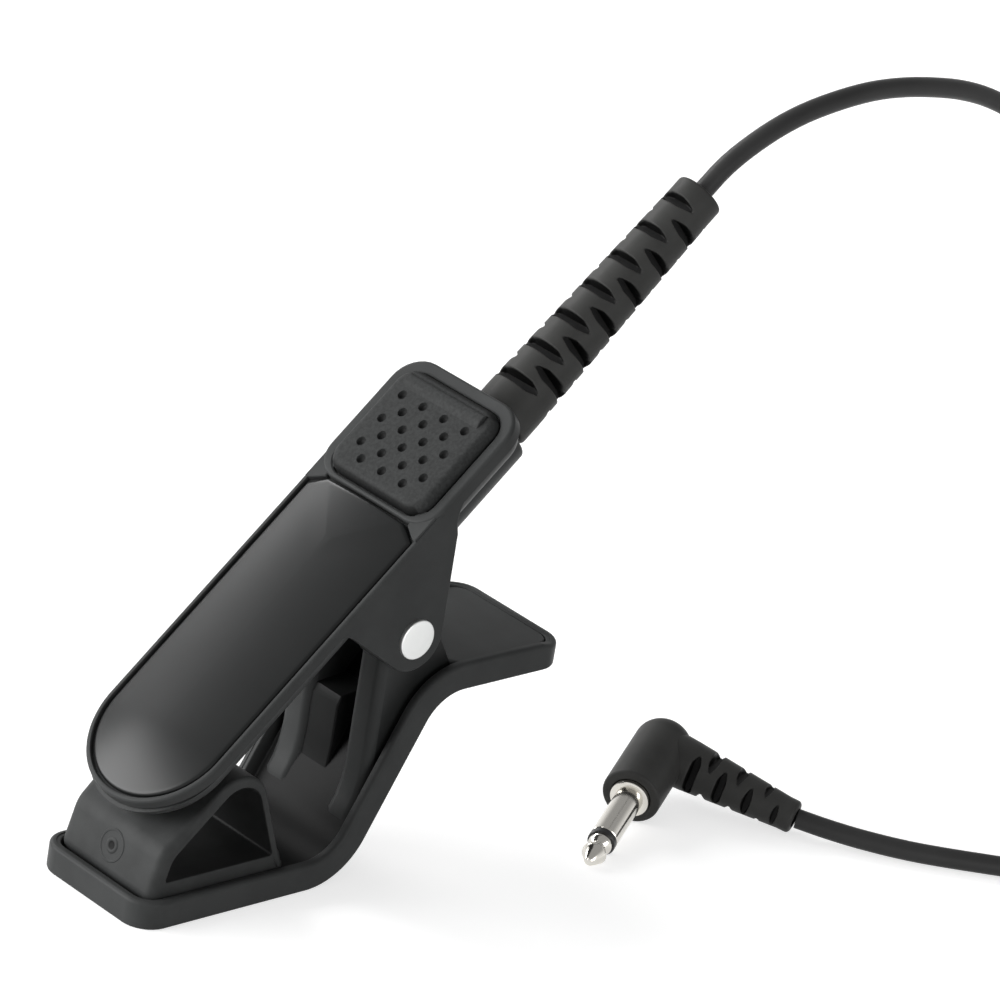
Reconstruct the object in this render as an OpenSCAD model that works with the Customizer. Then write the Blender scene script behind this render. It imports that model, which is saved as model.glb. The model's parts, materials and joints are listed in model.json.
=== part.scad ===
// Clip-on contact pickup for an instrument tuner: two sprung jaws that pinch a bell,
// sound hole or headstock, a piezo sensor in the upper jaw, and a thin lead to a
// right-angle jack plug. Millimetres. +X is the clip's right side, +Y runs from the
// jaw mouth back to the handles, +Z is up. The origin is the middle of the flat
// underside of the front plate, which is the face that the clip stands on.

/* [Upper jaw] */
// Length of the sensor housing from the cover's tip to its rear edge
upper_len = 63.4; // [56:0.2:72]
// Width of the top cover
cover_w = 18.5; // [18:0.1:19.6]
// Distance from the hinge pin back to the housing's rear edge
upper_rear = 26.6; // [25.6:0.2:29]
// How far the tray's rim stands out round the cover
tray_rim = 0.95; // [0.7:0.05:1.2]
// Height of the housing's flat underside above the pin axis, square to the housing
nose_base = 6; // [5.8:0.1:6.4]
// Depth of the inset lower hull of the tray
hull_depth = 3.7; // [3.2:0.1:4.4]
// Height of the rim band round the tray
rim_band = 1.2; // [1:0.1:1.8]
// Height of the cover above the rim band, at its crown
cover_h = 1.2; // [1:0.1:1.8]
// Wall of the tray
tray_wall = 1.4; // [1.1:0.1:1.8]

/* [Thumb pad] */
// Length of the thumb pad
pad_len = 15.6; // [14:0.2:16.4]
// Width of the thumb pad
pad_w = 16.8; // [15:0.2:17.2]
// Spacing of the dimples across the pad
dimple_pitch = 3.7; // [3.2:0.02:3.9]
// Width of one dimple
dimple_d = 1.1; // [0.6:0.1:1.6]
// Height of the pad above its bezel
pad_rise = 0.6; // [0.3:0.1:1]

/* [Hinge] */
// Diameter of the hinge pin
pin_d = 3; // [2.4:0.1:3.6]
// Diameter of the pin's heads
pin_head_d = 5; // [4.2:0.1:6]
// Radius of the rounded end of each ear round the pin
ear_r = 4.3; // [4:0.1:4.8]
// Thickness of each ear of the upper jaw
ear_t = 1.9; // [1.5:0.1:2.2]
// Thickness of each lug of the lower jaw
lug_t = 4.2; // [3.4:0.1:4.3]
// Angle of the upper jaw above the front plate when the clip is closed
rest_angle = 42.2; // [42:0.1:42.4]
// Diameter of the spring wire
spring_wire_d = 1; // [0.7:0.1:1.1]
// Turns in the spring
spring_turns = 5; // [3:1:5]

/* [Lower jaw] */
// Length of the lower jaw from the front edge to the end of the handle
jaw_len = 61.8; // [60:0.2:66]
// Width of the lower jaw
jaw_w = 19.8; // [19.4:0.1:21]
// Length of the flat front plate
plate_len = 25; // [24.6:0.1:25.2]
// Slope of the middle of the jaw
jaw_slope = 62.7; // [62:0.1:63.4]
// Height of the handle's underside above the floor
handle_z = 22.1; // [21.7:0.1:22.4]
// Height of the jaw's edge, square to its underside
jaw_edge = 3.5; // [3.2:0.1:3.7]
// Thickness of the jaw's web
jaw_web = 1.7; // [1.3:0.1:2]
// Width of the rim round the web
jaw_rim = 1.3; // [1:0.1:1.6]
// Length of the filled part of the handle
handle_len = 17.3; // [15:0.1:18]
// How far the handle's top plate lies below its side rims
handle_drop = 0.45; // [0.2:0.05:0.8]

/* [Rubber jaw pad] */
// Wall of the rubber arch
arch_wall = 1.3; // [1:0.1:1.6]
// Width of the rubber arch
arch_w = 16.8; // [14:0.2:17]
// Height of the rubber pad's skirt above the jaw's rim
skirt_h = 1.7; // [1.2:0.1:2.2]

/* [Lead and plug] */
// Diameter of the lead
cord_d = 2.5; // [2:0.1:2.6]
// Length of the ribbed boot behind the housing
boot_len = 37.4; // [37:0.1:37.8]
// Diameter of the boot where it leaves the housing
boot_d = 7.8; // [7:0.1:8.2]
// Diameter of the boot at its end
boot_end_d = 6.2; // [5.6:0.1:6.6]
// Spacing of the slots along the boot
slot_pitch = 4.88; // [4.6:0.02:4.9]
// Width of one slot in the boot
slot_w = 1.3; // [0.9:0.05:1.5]
// Diameter of the plug's sleeve
sleeve_d = 3.5; // [3.4:0.05:3.6]
// Length of the plug's shaft from its moulding to the point
shaft_len = 14.5; // [14:0.1:15]
// Diameter of the plug's moulding
plug_d = 7.4; // [7:0.1:7.8]
// Length of the plug's moulding along the shaft
plug_len = 14; // [13.4:0.1:14.6]

/* [Fits] */
// Gap between the two jaws' gripping faces when closed
jaw_gap = 0.15; // [0.1:0.01:0.2]
// Running clearance of the hinge pin, on the radius
pin_play = 0.05; // [0.02:0.01:0.08]
// Gap between each ear and its lug
side_gap = 0.25; // [0.15:0.05:0.4]
// Clearance of a part in its pocket
pocket_gap = 0.12; // [0.08:0.01:0.2]

/* [Hidden] */
$fn = 48;
over = 1;                 // how far a cutting solid runs past the face it cuts

// Where things are, in the jaw's own plane: [y, z] from the foot of the front edge
jaw_front = -plate_len / 2;                 // y of the jaw's front edge
pin_at = [36.2, 30.7];                      // hinge pin over the front edge's foot
pin_r = pin_d / 2;

// Heights square to the housing, above the pin axis
rim_low = nose_base + hull_depth;
rim_top = rim_low + rim_band;
cover_top = rim_top + cover_h;
cover_half = cover_w / 2;
tray_half = cover_half + tray_rim;
tip_a = upper_rear - upper_len;             // cover's tip, along the housing from the pin
nose_c = tip_a + cover_half;                // centre of the round nose
rear_corner = 4;                            // plan radius of the housing's rear corners
hull_half = tray_half - 1.2;                // half width of the lower hull under its rim
hull_ahead = 0.8;                           // how far the hull's nose is ahead of the rim's centre
hull_foot = hull_half - 2.5;                // half width of the flat underside
cavity_floor = nose_base + 1.4;
cavity_half = hull_half - tray_wall;
cavity_rear = upper_rear - 3;
nose_pad_half = 6;
nose_pad_ahead = 6.6;                       // reach of the nose pad to both sides of the nose's centre
nose_pad_behind = 9.6;
nose_pad_corner = 4.9;
nose_pad_t = 0.8;

// Thumb pad and its bezel, along the housing
pad_rear = upper_rear - 1.9;
pad_front = pad_rear - pad_len;
pad_corner = 2.6;
pad_floor = rim_top + 0.1;
bezel_front = pad_front - 0.9;
bezel_top = cover_top + 0.05;
cover_rear = bezel_front - 0.3;
corner_cut = 1.1;                           // length cut off the cover's rear corners
dimple_deep = 0.5;

// Hinge stack across the clip
ear_out = tray_half - 0.25;
ear_in = ear_out - ear_t;
lug_out = ear_in - side_gap;
lug_in = lug_out - lug_t;
lug_r = 4.4;

// Lead's seat at the rear of the housing
seat_h = 3.4;                               // height of the boot's axis above the pin axis
seat_r = boot_d / 2 + 0.9;
neck_r = 2.9;
flange_r = 3.8;
flange_t = 1.6;
seat_wall = 1.8;
boot_gap = 0.05;
seat_front = 13;
wire_r = 0.4;                               // sensor wires
wire_half = 0.9;                            // half their spacing
wire_hole_a = 17;                           // hole from the sensor cavity down to the boot's bore
wire_hole_r = 2.2;
cord_r = cord_d / 2;

// Lower jaw's bends
bend_low = 9.3;                             // radius of the underside at the lower bend
bend_high = 6;                              // radius of the underside at the upper bend
slope_run = (handle_z - (bend_low + bend_high) * (1 - cos(jaw_slope))) / sin(jaw_slope);
jaw_corner = 3.5;
handle_from = jaw_len - handle_len;         // front end of the handle's filled part
handle_top = handle_z + jaw_edge - handle_drop;
lug_front = 33.6;                           // front face of the lugs, over the web
wall_front = lug_front + 0.3;               // front face of the wall between them
wall_top = 19.3;
wall_end = 0.9;                             // right-hand end of that wall, across the clip

// Rubber pad: its skirt, and the corners of its arch (front foot, rear foot, peak, knee),
// whose front lies along the underside of the upper jaw's nose
skirt_top = jaw_edge + skirt_h;
pad_end = 23;
slip = nose_base - jaw_gap;
knee = on_housing(-39, slip);
rear_wall = [18.3, 13];
rear_lean = unit([1, -2.63]);
peak = crossing(knee, [cos(rest_angle), sin(rest_angle)], rear_wall, rear_lean);
arch_corners = [[knee.x - 1.6, skirt_top - 1], crossing([0, skirt_top - 1], [1, 0], rear_wall, rear_lean), peak, knee];
peak_r = 4.5;
knee_r = 4;

// Plug, lying on its moulding and its point
plug_r = plug_d / 2;
point_lift = 0.5;                           // height of the shaft's axis at the point
shaft_dip = asin((plug_r - point_lift) / (shaft_len + 1));
plug_turn = 118;                            // way from the point to the moulding, seen from above
tip_at = [20, 61];                          // the point's place on the floor, from the front edge
elbow_s = shaft_len + plug_len - plug_r;    // from the point to the lead's arm, along the shaft
tip_len = 4.3;                              // point and waist in front of the insulating ring
ring_t = 0.9;
rod_r = 0.8;                                // centre rod that carries the point
tube_r = rod_r + 0.3;                       // insulating tube round the rod
shank_r = sleeve_d / 2 - 0.25;              // sleeve's shank in the moulding
sleeve_deep = 3;                            // how far the shank sits in the moulding
collar_r = plug_r - 1.2;
collar_deep = 1;
arm_d = 6.4;
arm_end_d = 4.2;
arm_len = 18.6;
arm_pitch = 3.7;                            // spacing of the slots along the arm
arm_end_z = arm_end_d / 2 + 0.1;
arm_dip = asin((point_lift + elbow_s * sin(shaft_dip) - arm_end_z) / arm_len);
arm_end = tip_at + elbow_s * cos(shaft_dip) * [cos(plug_turn), sin(plug_turn)]
    + (arm_len + 0.2) * cos(arm_dip) * [sin(plug_turn), -cos(plug_turn)];

// Route of the lead from the boot to the coil, from the front edge's foot
boot_end = on_housing(upper_rear + 2 * boot_gap + boot_len, seat_h);
run_route = [[0, boot_end.x, boot_end.y], [0, 85.2, 79.5], [0, 90.5, 82.3], [0, 96, 84.2], [0, 102, 85.3],
    [0, 108, 85.8], [0, 113.5, 85.6], [0, 119, 84.9], [0, 124.5, 83.8], [0, 130, 82], [0.5, 135.5, 79.3],
    [1.5, 140.5, 75.6], [2.5, 145, 71], [4, 149, 65.3], [5.5, 152.3, 59], [7, 155, 52.3], [8.5, 157.3, 45.5],
    [10, 159.2, 38.6], [12, 160.8, 31.8], [14.5, 162, 25.2], [17.5, 163, 19.2], [21, 163.4, 14.2],
    [25, 163.5, 10.7], [29.3, 163.5, 8.9]];
// Route of the lead from the coil to the plug's arm
tail_route = [[57.6, 135.4, 1.3], [57.3, 130, 1.3], [56, 124, 1.3], [53, 118, 1.3], [48.5, 112, 1.3],
    [43, 106, 1.3], [37, 100.1, 1.3], [32, 96, 1.5], [28, 93.2, 1.8], [arm_end.x, arm_end.y, arm_end_z]];
coil_at = [40, 146];
coil_mean = 15;                             // radius at the middle of the turns
coil_wide = 3;                              // turns side by side
coil_high = 4;                              // layers

/* ---- outlines and small helpers ---- */

// Points of an arc about c, from angle a0 to a1
function arc(c, r, a0, a1, n = 8) = [for (i = [0:n]) c + r * [cos(a0 + (a1 - a0) * i / n), sin(a0 + (a1 - a0) * i / n)]];

function unit(v) = v / norm(v);
function left_of(v) = [-v.y, v.x];

// Crossing of the line through p along u with the line through q along v
function crossing(p, u, q, v) = p + u * cross(q - p, v) / cross(u, v);

// Corners of a closed anticlockwise outline moved inwards by d
function inset(p, d) = [for (i = [0:len(p) - 1])
    let (a = p[(i + len(p) - 1) % len(p)], b = p[i], c = p[(i + 1) % len(p)], u = unit(b - a), v = unit(c - b))
    crossing(b + left_of(u) * d, u, b + left_of(v) * d, v)];

// Outline with corner i rounded to radius r[i]; a corner of radius 0 stays sharp
function rounded(p, r, n = 8) = [for (i = [0:len(p) - 1])
    let (a = p[(i + len(p) - 1) % len(p)], b = p[i], c = p[(i + 1) % len(p)],
        u = unit(b - a), v = unit(c - b), turn = atan2(cross(u, v), u * v), side = sign(turn),
        back = r[i] * tan(abs(turn) / 2), m = b - u * back + left_of(u) * side * r[i])
    each r[i] <= 0 ? [b] : [for (k = [0:n])
        let (w = -side * left_of(u), t = turn * k / n) m + r[i] * [w.x * cos(t) - w.y * sin(t), w.x * sin(t) + w.y * cos(t)]]];

// Solid whose outline lies in the jaw's side plane, [y, z], and is w wide about the middle
module side_slab(w) {
    rotate([90, 0, 90]) linear_extrude(w, center = true) children();
}

// From the front edge's foot to the part's frame
module at_jaw() {
    translate([0, jaw_front, 0]) children();
}

// From the pin, with Y back along the housing and Z square to it, to the part's frame
module at_housing() {
    translate([0, jaw_front + pin_at.x, pin_at.y]) rotate([rest_angle, 0, 0]) children();
}

// Side-plane point given along and square to the housing
function on_housing(a, h) = pin_at + [a * cos(rest_angle) - h * sin(rest_angle), a * sin(rest_angle) + h * cos(rest_angle)];

// Direction of the route at point i
function heading(p, i) = unit(p[min(i + 1, len(p) - 1)] - p[max(i - 1, 0)]);

// Tube of radius r along a route; keel is a direction that the route never takes
module tube(route, r, keel) {
    sides = 8;
    rings = len(route);
    points = [for (i = [0:rings - 1])
        let (t = heading(route, i), u = unit(cross(t, keel)), v = cross(t, u))
        for (k = [0:sides - 1]) route[i] + r * (cos(45 * k + 22.5) * u + sin(45 * k + 22.5) * v)];
    walls = [for (i = [0:rings - 2], k = [0:sides - 1])
        let (n = (k + 1) % sides, a = i * sides + k, b = i * sides + n, c = a + sides, d = b + sides)
        each [[a, d, b], [a, c, d]]];
    polyhedron(points, concat([[for (k = [0:sides - 1]) k]], walls,
        [[for (k = [sides - 1:-1:0]) (rings - 1) * sides + k]]), convexity = 6);
}

// Solid of the housing's cross-section: turned round the nose, then run straight back to a
module nosed(to_a) {
    translate([0, nose_c, 0]) rotate([0, 0, 180]) rotate_extrude(angle = 180) children();
    for (s = [0, 1]) mirror([s, 0, 0])
        translate([0, to_a, 0]) rotate([90, 0, 0]) linear_extrude(to_a - nose_c) children();
}

// Plan of the housing at half width w, ending at a with its rear corners rounded
module plan(w, to_a, corner) {
    translate([0, nose_c]) circle(w);
    translate([-w, nose_c]) square([2 * w, to_a - corner - nose_c]);
    translate([-w + corner, nose_c]) square([2 * (w - corner), to_a - nose_c]);
    for (s = [-1, 1]) translate([s * (w - corner), to_a - corner]) circle(corner);
}

// Rectangle centred across the clip, from y0 to y1, with rounded corners
module block_plan(w, y0, y1, corner) {
    polygon(rounded([[-w / 2, y0], [w / 2, y0], [w / 2, y1], [-w / 2, y1]], [corner, corner, corner, corner]));
}

/* ---- upper jaw ---- */

module ear_outline() {
    front = [-6.1, rim_low];
    rear = [14.4, rim_low];
    foot_f = [-ear_r * cos(8), -ear_r * sin(8)];
    foot_r = [ear_r * cos(41), -ear_r * sin(41)];
    polygon(concat(
        arc([front.x - 2.2, rim_low - 2.2], 2.2, 90, 8, 6),
        arc([0, 0], ear_r, 188, 319, 20),
        [rear - [2.8, 3.2]],
        arc([rear.x + 1.9, rim_low - 5.2], 5.2, 139, 90, 6),
        [[rear.x + 1.9, rim_low + 0.5], [front.x - 2.2, rim_low + 0.5]]));
}

// Cross-section of the lower hull, tapering in to its flat underside
module hull_section() {
    polygon(concat([[0, rim_low], [0, nose_base]],
        arc([hull_foot - 1.2, nose_base + 4.6], 4.6, -75, -12, 8), [[hull_half, rim_low]]));
}

module rim_section() {
    edge = 0.35;
    polygon(concat([[0, rim_low]], [[tray_half - 0.15, rim_low], [tray_half, rim_low + 0.15]],
        arc([tray_half - edge, rim_top + 0.3 - edge], edge, 0, 90, 5),
        [[cover_half + 0.2, rim_top + 0.3], [cover_half + 0.2, rim_top], [0, rim_top]]));
}

module bezel() {
    translate([0, 0, rim_low + 0.15]) linear_extrude(bezel_top - rim_low - 0.75) difference() {
        plan(tray_half, upper_rear, rear_corner);
        translate([-tray_half - over, nose_c - tray_half - over])
            square([2 * (tray_half + over), bezel_front - nose_c + tray_half + over]);
    }
    translate([0, 0, bezel_top - 0.65]) linear_extrude(0.65)
        block_plan(2 * tray_half - 0.9, bezel_front, upper_rear - 0.45, rear_corner - 0.4);
}

// Flat lands beside the cover's cut corners
module corner_lands() {
    gap = 0.1;
    edge = tray_half - 0.3;
    for (s = [0, 1]) mirror([s, 0, 0]) translate([0, 0, rim_top - 0.2]) linear_extrude(cover_h - 0.1)
        polygon([[edge, bezel_front + 0.6], [cover_half + gap - corner_cut / tan(30), bezel_front + 0.6],
            [cover_half + gap - corner_cut / tan(30), cover_rear], [cover_half + gap, cover_rear - corner_cut],
            [edge, cover_rear - corner_cut]]);
}

module upper_housing() {
    color("#1d1d1f") at_housing() difference() {
        union() {
            intersection() {
                translate([0, -hull_ahead, 0]) nosed(upper_rear + hull_ahead) hull_section();
                translate([0, -hull_ahead, nose_base - over]) linear_extrude(hull_depth + 2 * over)
                    plan(hull_half, upper_rear + hull_ahead - 0.6, rear_corner);
            }
            nosed(upper_rear - rear_corner) rim_section();
            bezel();
            corner_lands();
            // round seat of the lead's boot
            translate([0, upper_rear - 0.6, seat_h]) rotate([90, 0, 0])
                cylinder(r = seat_r, h = upper_rear - 0.6 - seat_front);
            for (s = [-1, 1]) translate([s * (ear_in + ear_t / 2), 0, 0])
                side_slab(ear_t) ear_outline();
        }
        // sensor cavity, open to the top under the cover
        translate([0, 0, cavity_floor]) linear_extrude(rim_top - cavity_floor + over)
            intersection() {
                plan(cavity_half, cavity_rear, 2);
                translate([-tray_half, nose_c - tray_half]) square([2 * tray_half, cover_rear - 1 - nose_c + tray_half]);
            }
        translate([0, 0, cavity_floor]) linear_extrude(rim_low - cavity_floor + 0.3)
            plan(cavity_half, cavity_rear, 2);
        // pocket of the thumb pad
        translate([0, 0, pad_floor]) linear_extrude(cover_top - pad_floor + over)
            block_plan(pad_w + 2 * pocket_gap, pad_front - pocket_gap, pad_rear + pocket_gap, pad_corner);
        // pocket of the nose pad
        translate([0, 0, nose_base - over]) linear_extrude(nose_pad_t + over)
            block_plan(2 * (nose_pad_half + pocket_gap), nose_c - nose_pad_ahead - pocket_gap,
                nose_c + nose_pad_behind + pocket_gap, nose_pad_corner + pocket_gap);
        // bores for the lead and its boot's neck and flange
        translate([0, upper_rear + over, seat_h]) rotate([90, 0, 0])
            cylinder(r = neck_r + 0.05, h = seat_wall + over + 1);
        translate([0, upper_rear - seat_wall, seat_h]) rotate([90, 0, 0])
            cylinder(r = flange_r + 0.05, h = upper_rear - seat_wall - seat_front - 1.4);
        // hole for the sensor's wires
        translate([0, wire_hole_a, seat_h]) cylinder(r = wire_hole_r, h = cavity_floor - seat_h + 0.3);
        // pin bores
        rotate([0, 90, 0]) cylinder(r = pin_r, h = 4 * tray_half, center = true);
    }
}

module top_cover() {
    section = concat([[0, rim_top], [cover_half, rim_top]],
        arc([cover_half - 0.6, rim_top + 0.25], 0.6, 0, 60, 5),
        arc([0, cover_top - 48], 48, 90 - asin((cover_half - 0.9) / 48), 90, 8));
    color("#232326") at_housing() {
        difference() {
            nosed(cover_rear) polygon(section);
            for (s = [0, 1]) mirror([s, 0, 0]) translate([cover_half, cover_rear - corner_cut, rim_top - over])
                rotate([0, 0, -30]) translate([-3, 0, 0]) cube([4, 3, cover_h + 2 * over]);
        }
        // lip that locates the cover in the tray
        translate([0, 0, rim_top - 1]) linear_extrude(1) difference() {
            plan(cavity_half - pocket_gap, cover_rear - 1.2 - pocket_gap, 2);
            plan(cavity_half - pocket_gap - 0.9, cover_rear - 2.1 - pocket_gap, 1.5);
        }
    }
}

module thumb_pad() {
    top = bezel_top + pad_rise;
    ridge_from = pad_rear - 3;
    color("#2a2a2c") at_housing() difference() {
        union() {
            translate([0, 0, pad_floor]) linear_extrude(bezel_top - 0.3 - pad_floor)
                block_plan(pad_w, pad_front, pad_rear, pad_corner - pocket_gap);
            translate([0, 0, pad_floor]) linear_extrude(bezel_top + 0.2 - pad_floor)
                block_plan(pad_w - 1.2, pad_front + 0.6, pad_rear - 0.6, pad_corner - 0.4);
            translate([0, 0, pad_floor]) linear_extrude(top - pad_floor)
                block_plan(pad_w - 2.2, pad_front + 1.1, ridge_from + 0.6, pad_corner - 0.8);
            side_slab(pad_w - 3.4) polygon([[ridge_from, pad_floor], [pad_rear - 0.9, pad_floor],
                [pad_rear - 0.9, top], [pad_rear - 1.5, top + 0.45], [pad_rear - 2.2, top + 0.45], [ridge_from, top - 0.05]]);
        }
        for (row = [0:5], k = [0:3 - row % 2])
            translate([(k - (3 - row % 2) / 2) * dimple_pitch, pad_rear - 3.9 - row * dimple_pitch / 2, top - dimple_deep])
                cylinder(d = dimple_d, h = dimple_deep + over, $fn = 20);
    }
}

module nose_pad() {
    color("#161616") at_housing() translate([0, 0, nose_base]) linear_extrude(nose_pad_t)
        block_plan(2 * nose_pad_half, nose_c - nose_pad_ahead, nose_c + nose_pad_behind, nose_pad_corner);
}

// Slots cut into a boot that runs along Z: pairs from two opposite sides, turned a quarter
// from one pair to the next, down to a core; the first and last pair face alike
module boot_slots(first, pitch, n, w, core, reach) {
    for (i = [0:2 * n - 2], s = [-1, 1])
        translate([0, 0, first + i * pitch / 2]) rotate([0, 0, 90 * (i % 2)])
            translate([0, s * (core + reach / 2), 0]) cube([2 * reach, reach, w], center = true);
}

module strain_relief() {
    flange_at = -seat_wall - boot_gap;
    tail_r = boot_end_d / 2;
    color("#2e2e30") at_housing() translate([0, upper_rear + boot_gap, seat_h]) rotate([-90, 0, 0]) difference() {
        rotate_extrude() polygon([[0, flange_at - flange_t], [flange_r, flange_at - flange_t],
            [flange_r, flange_at - boot_gap], [neck_r, flange_at - boot_gap], [neck_r, 0], [boot_d / 2 - 0.3, 0],
            [boot_d / 2, 0.3], [boot_d / 2, 3], [tail_r, boot_len - 2.2], [tail_r, boot_len - 0.5],
            [tail_r - 0.4, boot_len], [0, boot_len]]);
        boot_slots(4.9, slot_pitch, 7, slot_w, cord_r + 0.45, boot_d);
    }
}

module pivot_pin() {
    head_t = 0.45;
    color("#d0d0d0") at_housing() rotate([0, 90, 0]) {
        cylinder(r = pin_r, h = 2 * ear_out, center = true);
        for (s = [-1, 1]) translate([0, 0, s * (ear_out + head_t / 2)])
            cylinder(d = pin_head_d, h = head_t, center = true);
    }
}

module piezo_disc() {
    color("#c9a24a") at_housing() translate([0, nose_c, cavity_floor]) cylinder(r = cavity_half - 0.5, h = 0.25);
}

module piezo_ceramic() {
    color("#e4ded0") at_housing() translate([0, nose_c, cavity_floor + 0.25]) cylinder(r = cavity_half - 3, h = 0.25);
}

module sensor_cushion() {
    color("#555555") at_housing() translate([0, nose_c, cavity_floor + 0.5])
        cylinder(r = cavity_half - 3.5, h = rim_top - cavity_floor - 0.5);
}

module sensor_leads() {
    h = cavity_floor + wire_r + 0.3;
    end_a = upper_rear - seat_wall - flange_t - boot_gap;
    color("#b03030") at_housing() for (s = [-wire_half, wire_half])
        tube([[s, nose_c + 5.6, h], [s, wire_hole_a - 3, h], [s, wire_hole_a - 0.8, h - 0.6],
            [s, wire_hole_a + 0.8, h - 2.6], [s, wire_hole_a + 2, seat_h + 0.7], [s, end_a - 1.5, seat_h], [s, end_a, seat_h]],
            wire_r, [1, 0, 0]);
}

/* ---- lower jaw ---- */

// Stretch of the jaw's S-shaped band between two heights over its underside
module band(lo, hi) {
    s = jaw_slope;
    low_end = [plate_len, bend_low] + bend_low * [sin(s), -cos(s)];
    high_start = low_end + slope_run * [cos(s), sin(s)];
    high_c = high_start + bend_high * [sin(s), -cos(s)];
    translate([0, lo]) square([plate_len, hi - lo]);
    intersection() {
        translate([plate_len, bend_low]) difference() {
            circle(bend_low - lo);
            circle(bend_low - hi);
        }
        polygon([[plate_len, bend_low], [plate_len, -over], [plate_len + 3 * bend_low * tan(s / 2), -over],
            [plate_len, bend_low] + 3 * bend_low * [sin(s), -cos(s)]]);
    }
    translate(low_end) rotate(s) translate([0, lo]) square([slope_run, hi - lo]);
    intersection() {
        translate(high_c) difference() {
            circle(bend_high + hi);
            circle(bend_high + lo);
        }
        polygon([high_c, high_c + 4 * bend_high * [0, 1], high_c + 4 * bend_high * [-tan(s / 2), 1],
            high_c + 4 * bend_high * [-sin(s), cos(s)]]);
    }
    translate([high_c.x, handle_z + lo]) square([jaw_len - high_c.x, hi - lo]);
}

// Point where the line from p touches the circle, on its left (side 1) or right (side -1)
function touch(c, r, p, side) =
    let (d = c - p, l = norm(d), t = sqrt(l * l - r * r), a = side * asin(r / l))
    p + t * [d.x * cos(a) - d.y * sin(a), d.x * sin(a) + d.y * cos(a)] / l;

module lug_outline() {
    rear = [45.5, handle_z + jaw_web - 0.2];
    tr = touch(pin_at, lug_r, rear, -1);
    af = -180 + acos((pin_at.x - lug_front) / lug_r);
    ar = atan2(tr.y - pin_at.y, tr.x - pin_at.x);
    polygon(concat([[lug_front - 1.4, 6.2], [lug_front - 0.35, 9.8], [lug_front, 12.8]],
        arc(pin_at, lug_r, af + 360, ar, 18), [rear, [40.5, 19.5], [35.2, 9.5]]));
}

module lower_jaw() {
    color("#1b1b1d") at_jaw() difference() {
        union() {
            intersection() {
                difference() {
                    side_slab(jaw_w) band(0, jaw_edge);
                    intersection() {
                        side_slab(jaw_w - 2 * jaw_rim) band(jaw_web, jaw_edge + over);
                        linear_extrude(4 * handle_z)
                            block_plan(jaw_w - 2 * jaw_rim, jaw_rim, handle_from, jaw_corner - jaw_rim);
                    }
                    translate([0, 0, handle_top]) linear_extrude(handle_drop + over)
                        block_plan(jaw_w - 2 * jaw_rim, handle_from - 3 * jaw_rim, jaw_len + 2 * jaw_corner, jaw_rim);
                }
                translate([0, 0, -over]) linear_extrude(4 * handle_z) block_plan(jaw_w, 0, jaw_len, jaw_corner);
            }
            for (s = [-1, 1]) translate([s * (lug_in + lug_t / 2), 0, 0]) side_slab(lug_t) lug_outline();
            // wall between the lugs
            translate([(wall_end - lug_in - 0.2) / 2, 0, 0]) side_slab(wall_end + lug_in + 0.2)
                polygon([[wall_front, 8.2], [36, 12], [39.6, 19.2], [39.6, wall_top + 0.6], [wall_front, wall_top]]);
        }
        translate([0, pin_at.x, pin_at.y]) rotate([0, 90, 0]) cylinder(r = pin_r + pin_play, h = 3 * jaw_w, center = true);
    }
}

module jaw_pad() {
    inner = inset(arch_corners, arch_wall);
    color("#262628") at_jaw() {
        difference() {
            union() {
                translate([0, 0, jaw_web]) linear_extrude(skirt_top - jaw_web)
                    block_plan(jaw_w - 2 * (jaw_rim + pocket_gap), jaw_rim + pocket_gap, pad_end, jaw_corner - jaw_rim);
                side_slab(arch_w) polygon(rounded(arch_corners, [0, 0, peak_r, knee_r]));
            }
            side_slab(2 * arch_w) intersection() {
                polygon(rounded(inner, [0, 0, peak_r - arch_wall, knee_r - arch_wall]));
                translate([0, skirt_top]) square([plate_len, plate_len]);
            }
        }
    }
}

module torsion_spring() {
    wire_r = spring_wire_d / 2;
    ring_r = pin_r + 0.9 + wire_r;
    half = (spring_wire_d + 0.08) * spring_turns / 2;
    up_end = on_housing(10.5, nose_base - wire_r - 0.1);
    low_end = [47.5, handle_top + wire_r + 0.05];
    up_from = touch(pin_at, ring_r, up_end, -1);
    low_from = touch(pin_at, ring_r, low_end, 1);
    a_low = atan2(low_from.y - pin_at.y, low_from.x - pin_at.x);
    a_up = atan2(up_from.y - pin_at.y, up_from.x - pin_at.x);
    sweep = 360 * (spring_turns - 1) + (a_low - a_up + 720) % 360;
    steps = 14 * spring_turns;
    color("#b8b8bc") at_jaw() tube(concat(
        [[-half, low_end.x, low_end.y], [-half, (low_end.x + low_from.x) / 2, (low_end.y + low_from.y) / 2]],
        [for (i = [0:steps]) let (p = pin_at + ring_r * [cos(a_low - sweep * i / steps), sin(a_low - sweep * i / steps)])
            [-half + 2 * half * i / steps, p.x, p.y]],
        [[half, (up_end.x + up_from.x) / 2, (up_end.y + up_from.y) / 2], [half, up_end.x, up_end.y]]), wire_r, [1, 0, 0]);
}

/* ---- lead and plug ---- */

module cord_run() {
    color("#1a1a1a") at_jaw() tube(run_route, cord_r, [0.5, -1, 0]);
}

module cord_coil() {
    wide = coil_wide * cord_d;
    tall = coil_high * cord_d;
    color("#1a1a1a") at_jaw() translate([coil_at.x, coil_at.y, 0]) rotate_extrude()
        polygon(rounded([[coil_mean - wide / 2, 0], [coil_mean + wide / 2, 0],
            [coil_mean + wide / 2, tall], [coil_mean - wide / 2, tall]], [1, 1, 1, 1], 3));
}

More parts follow.
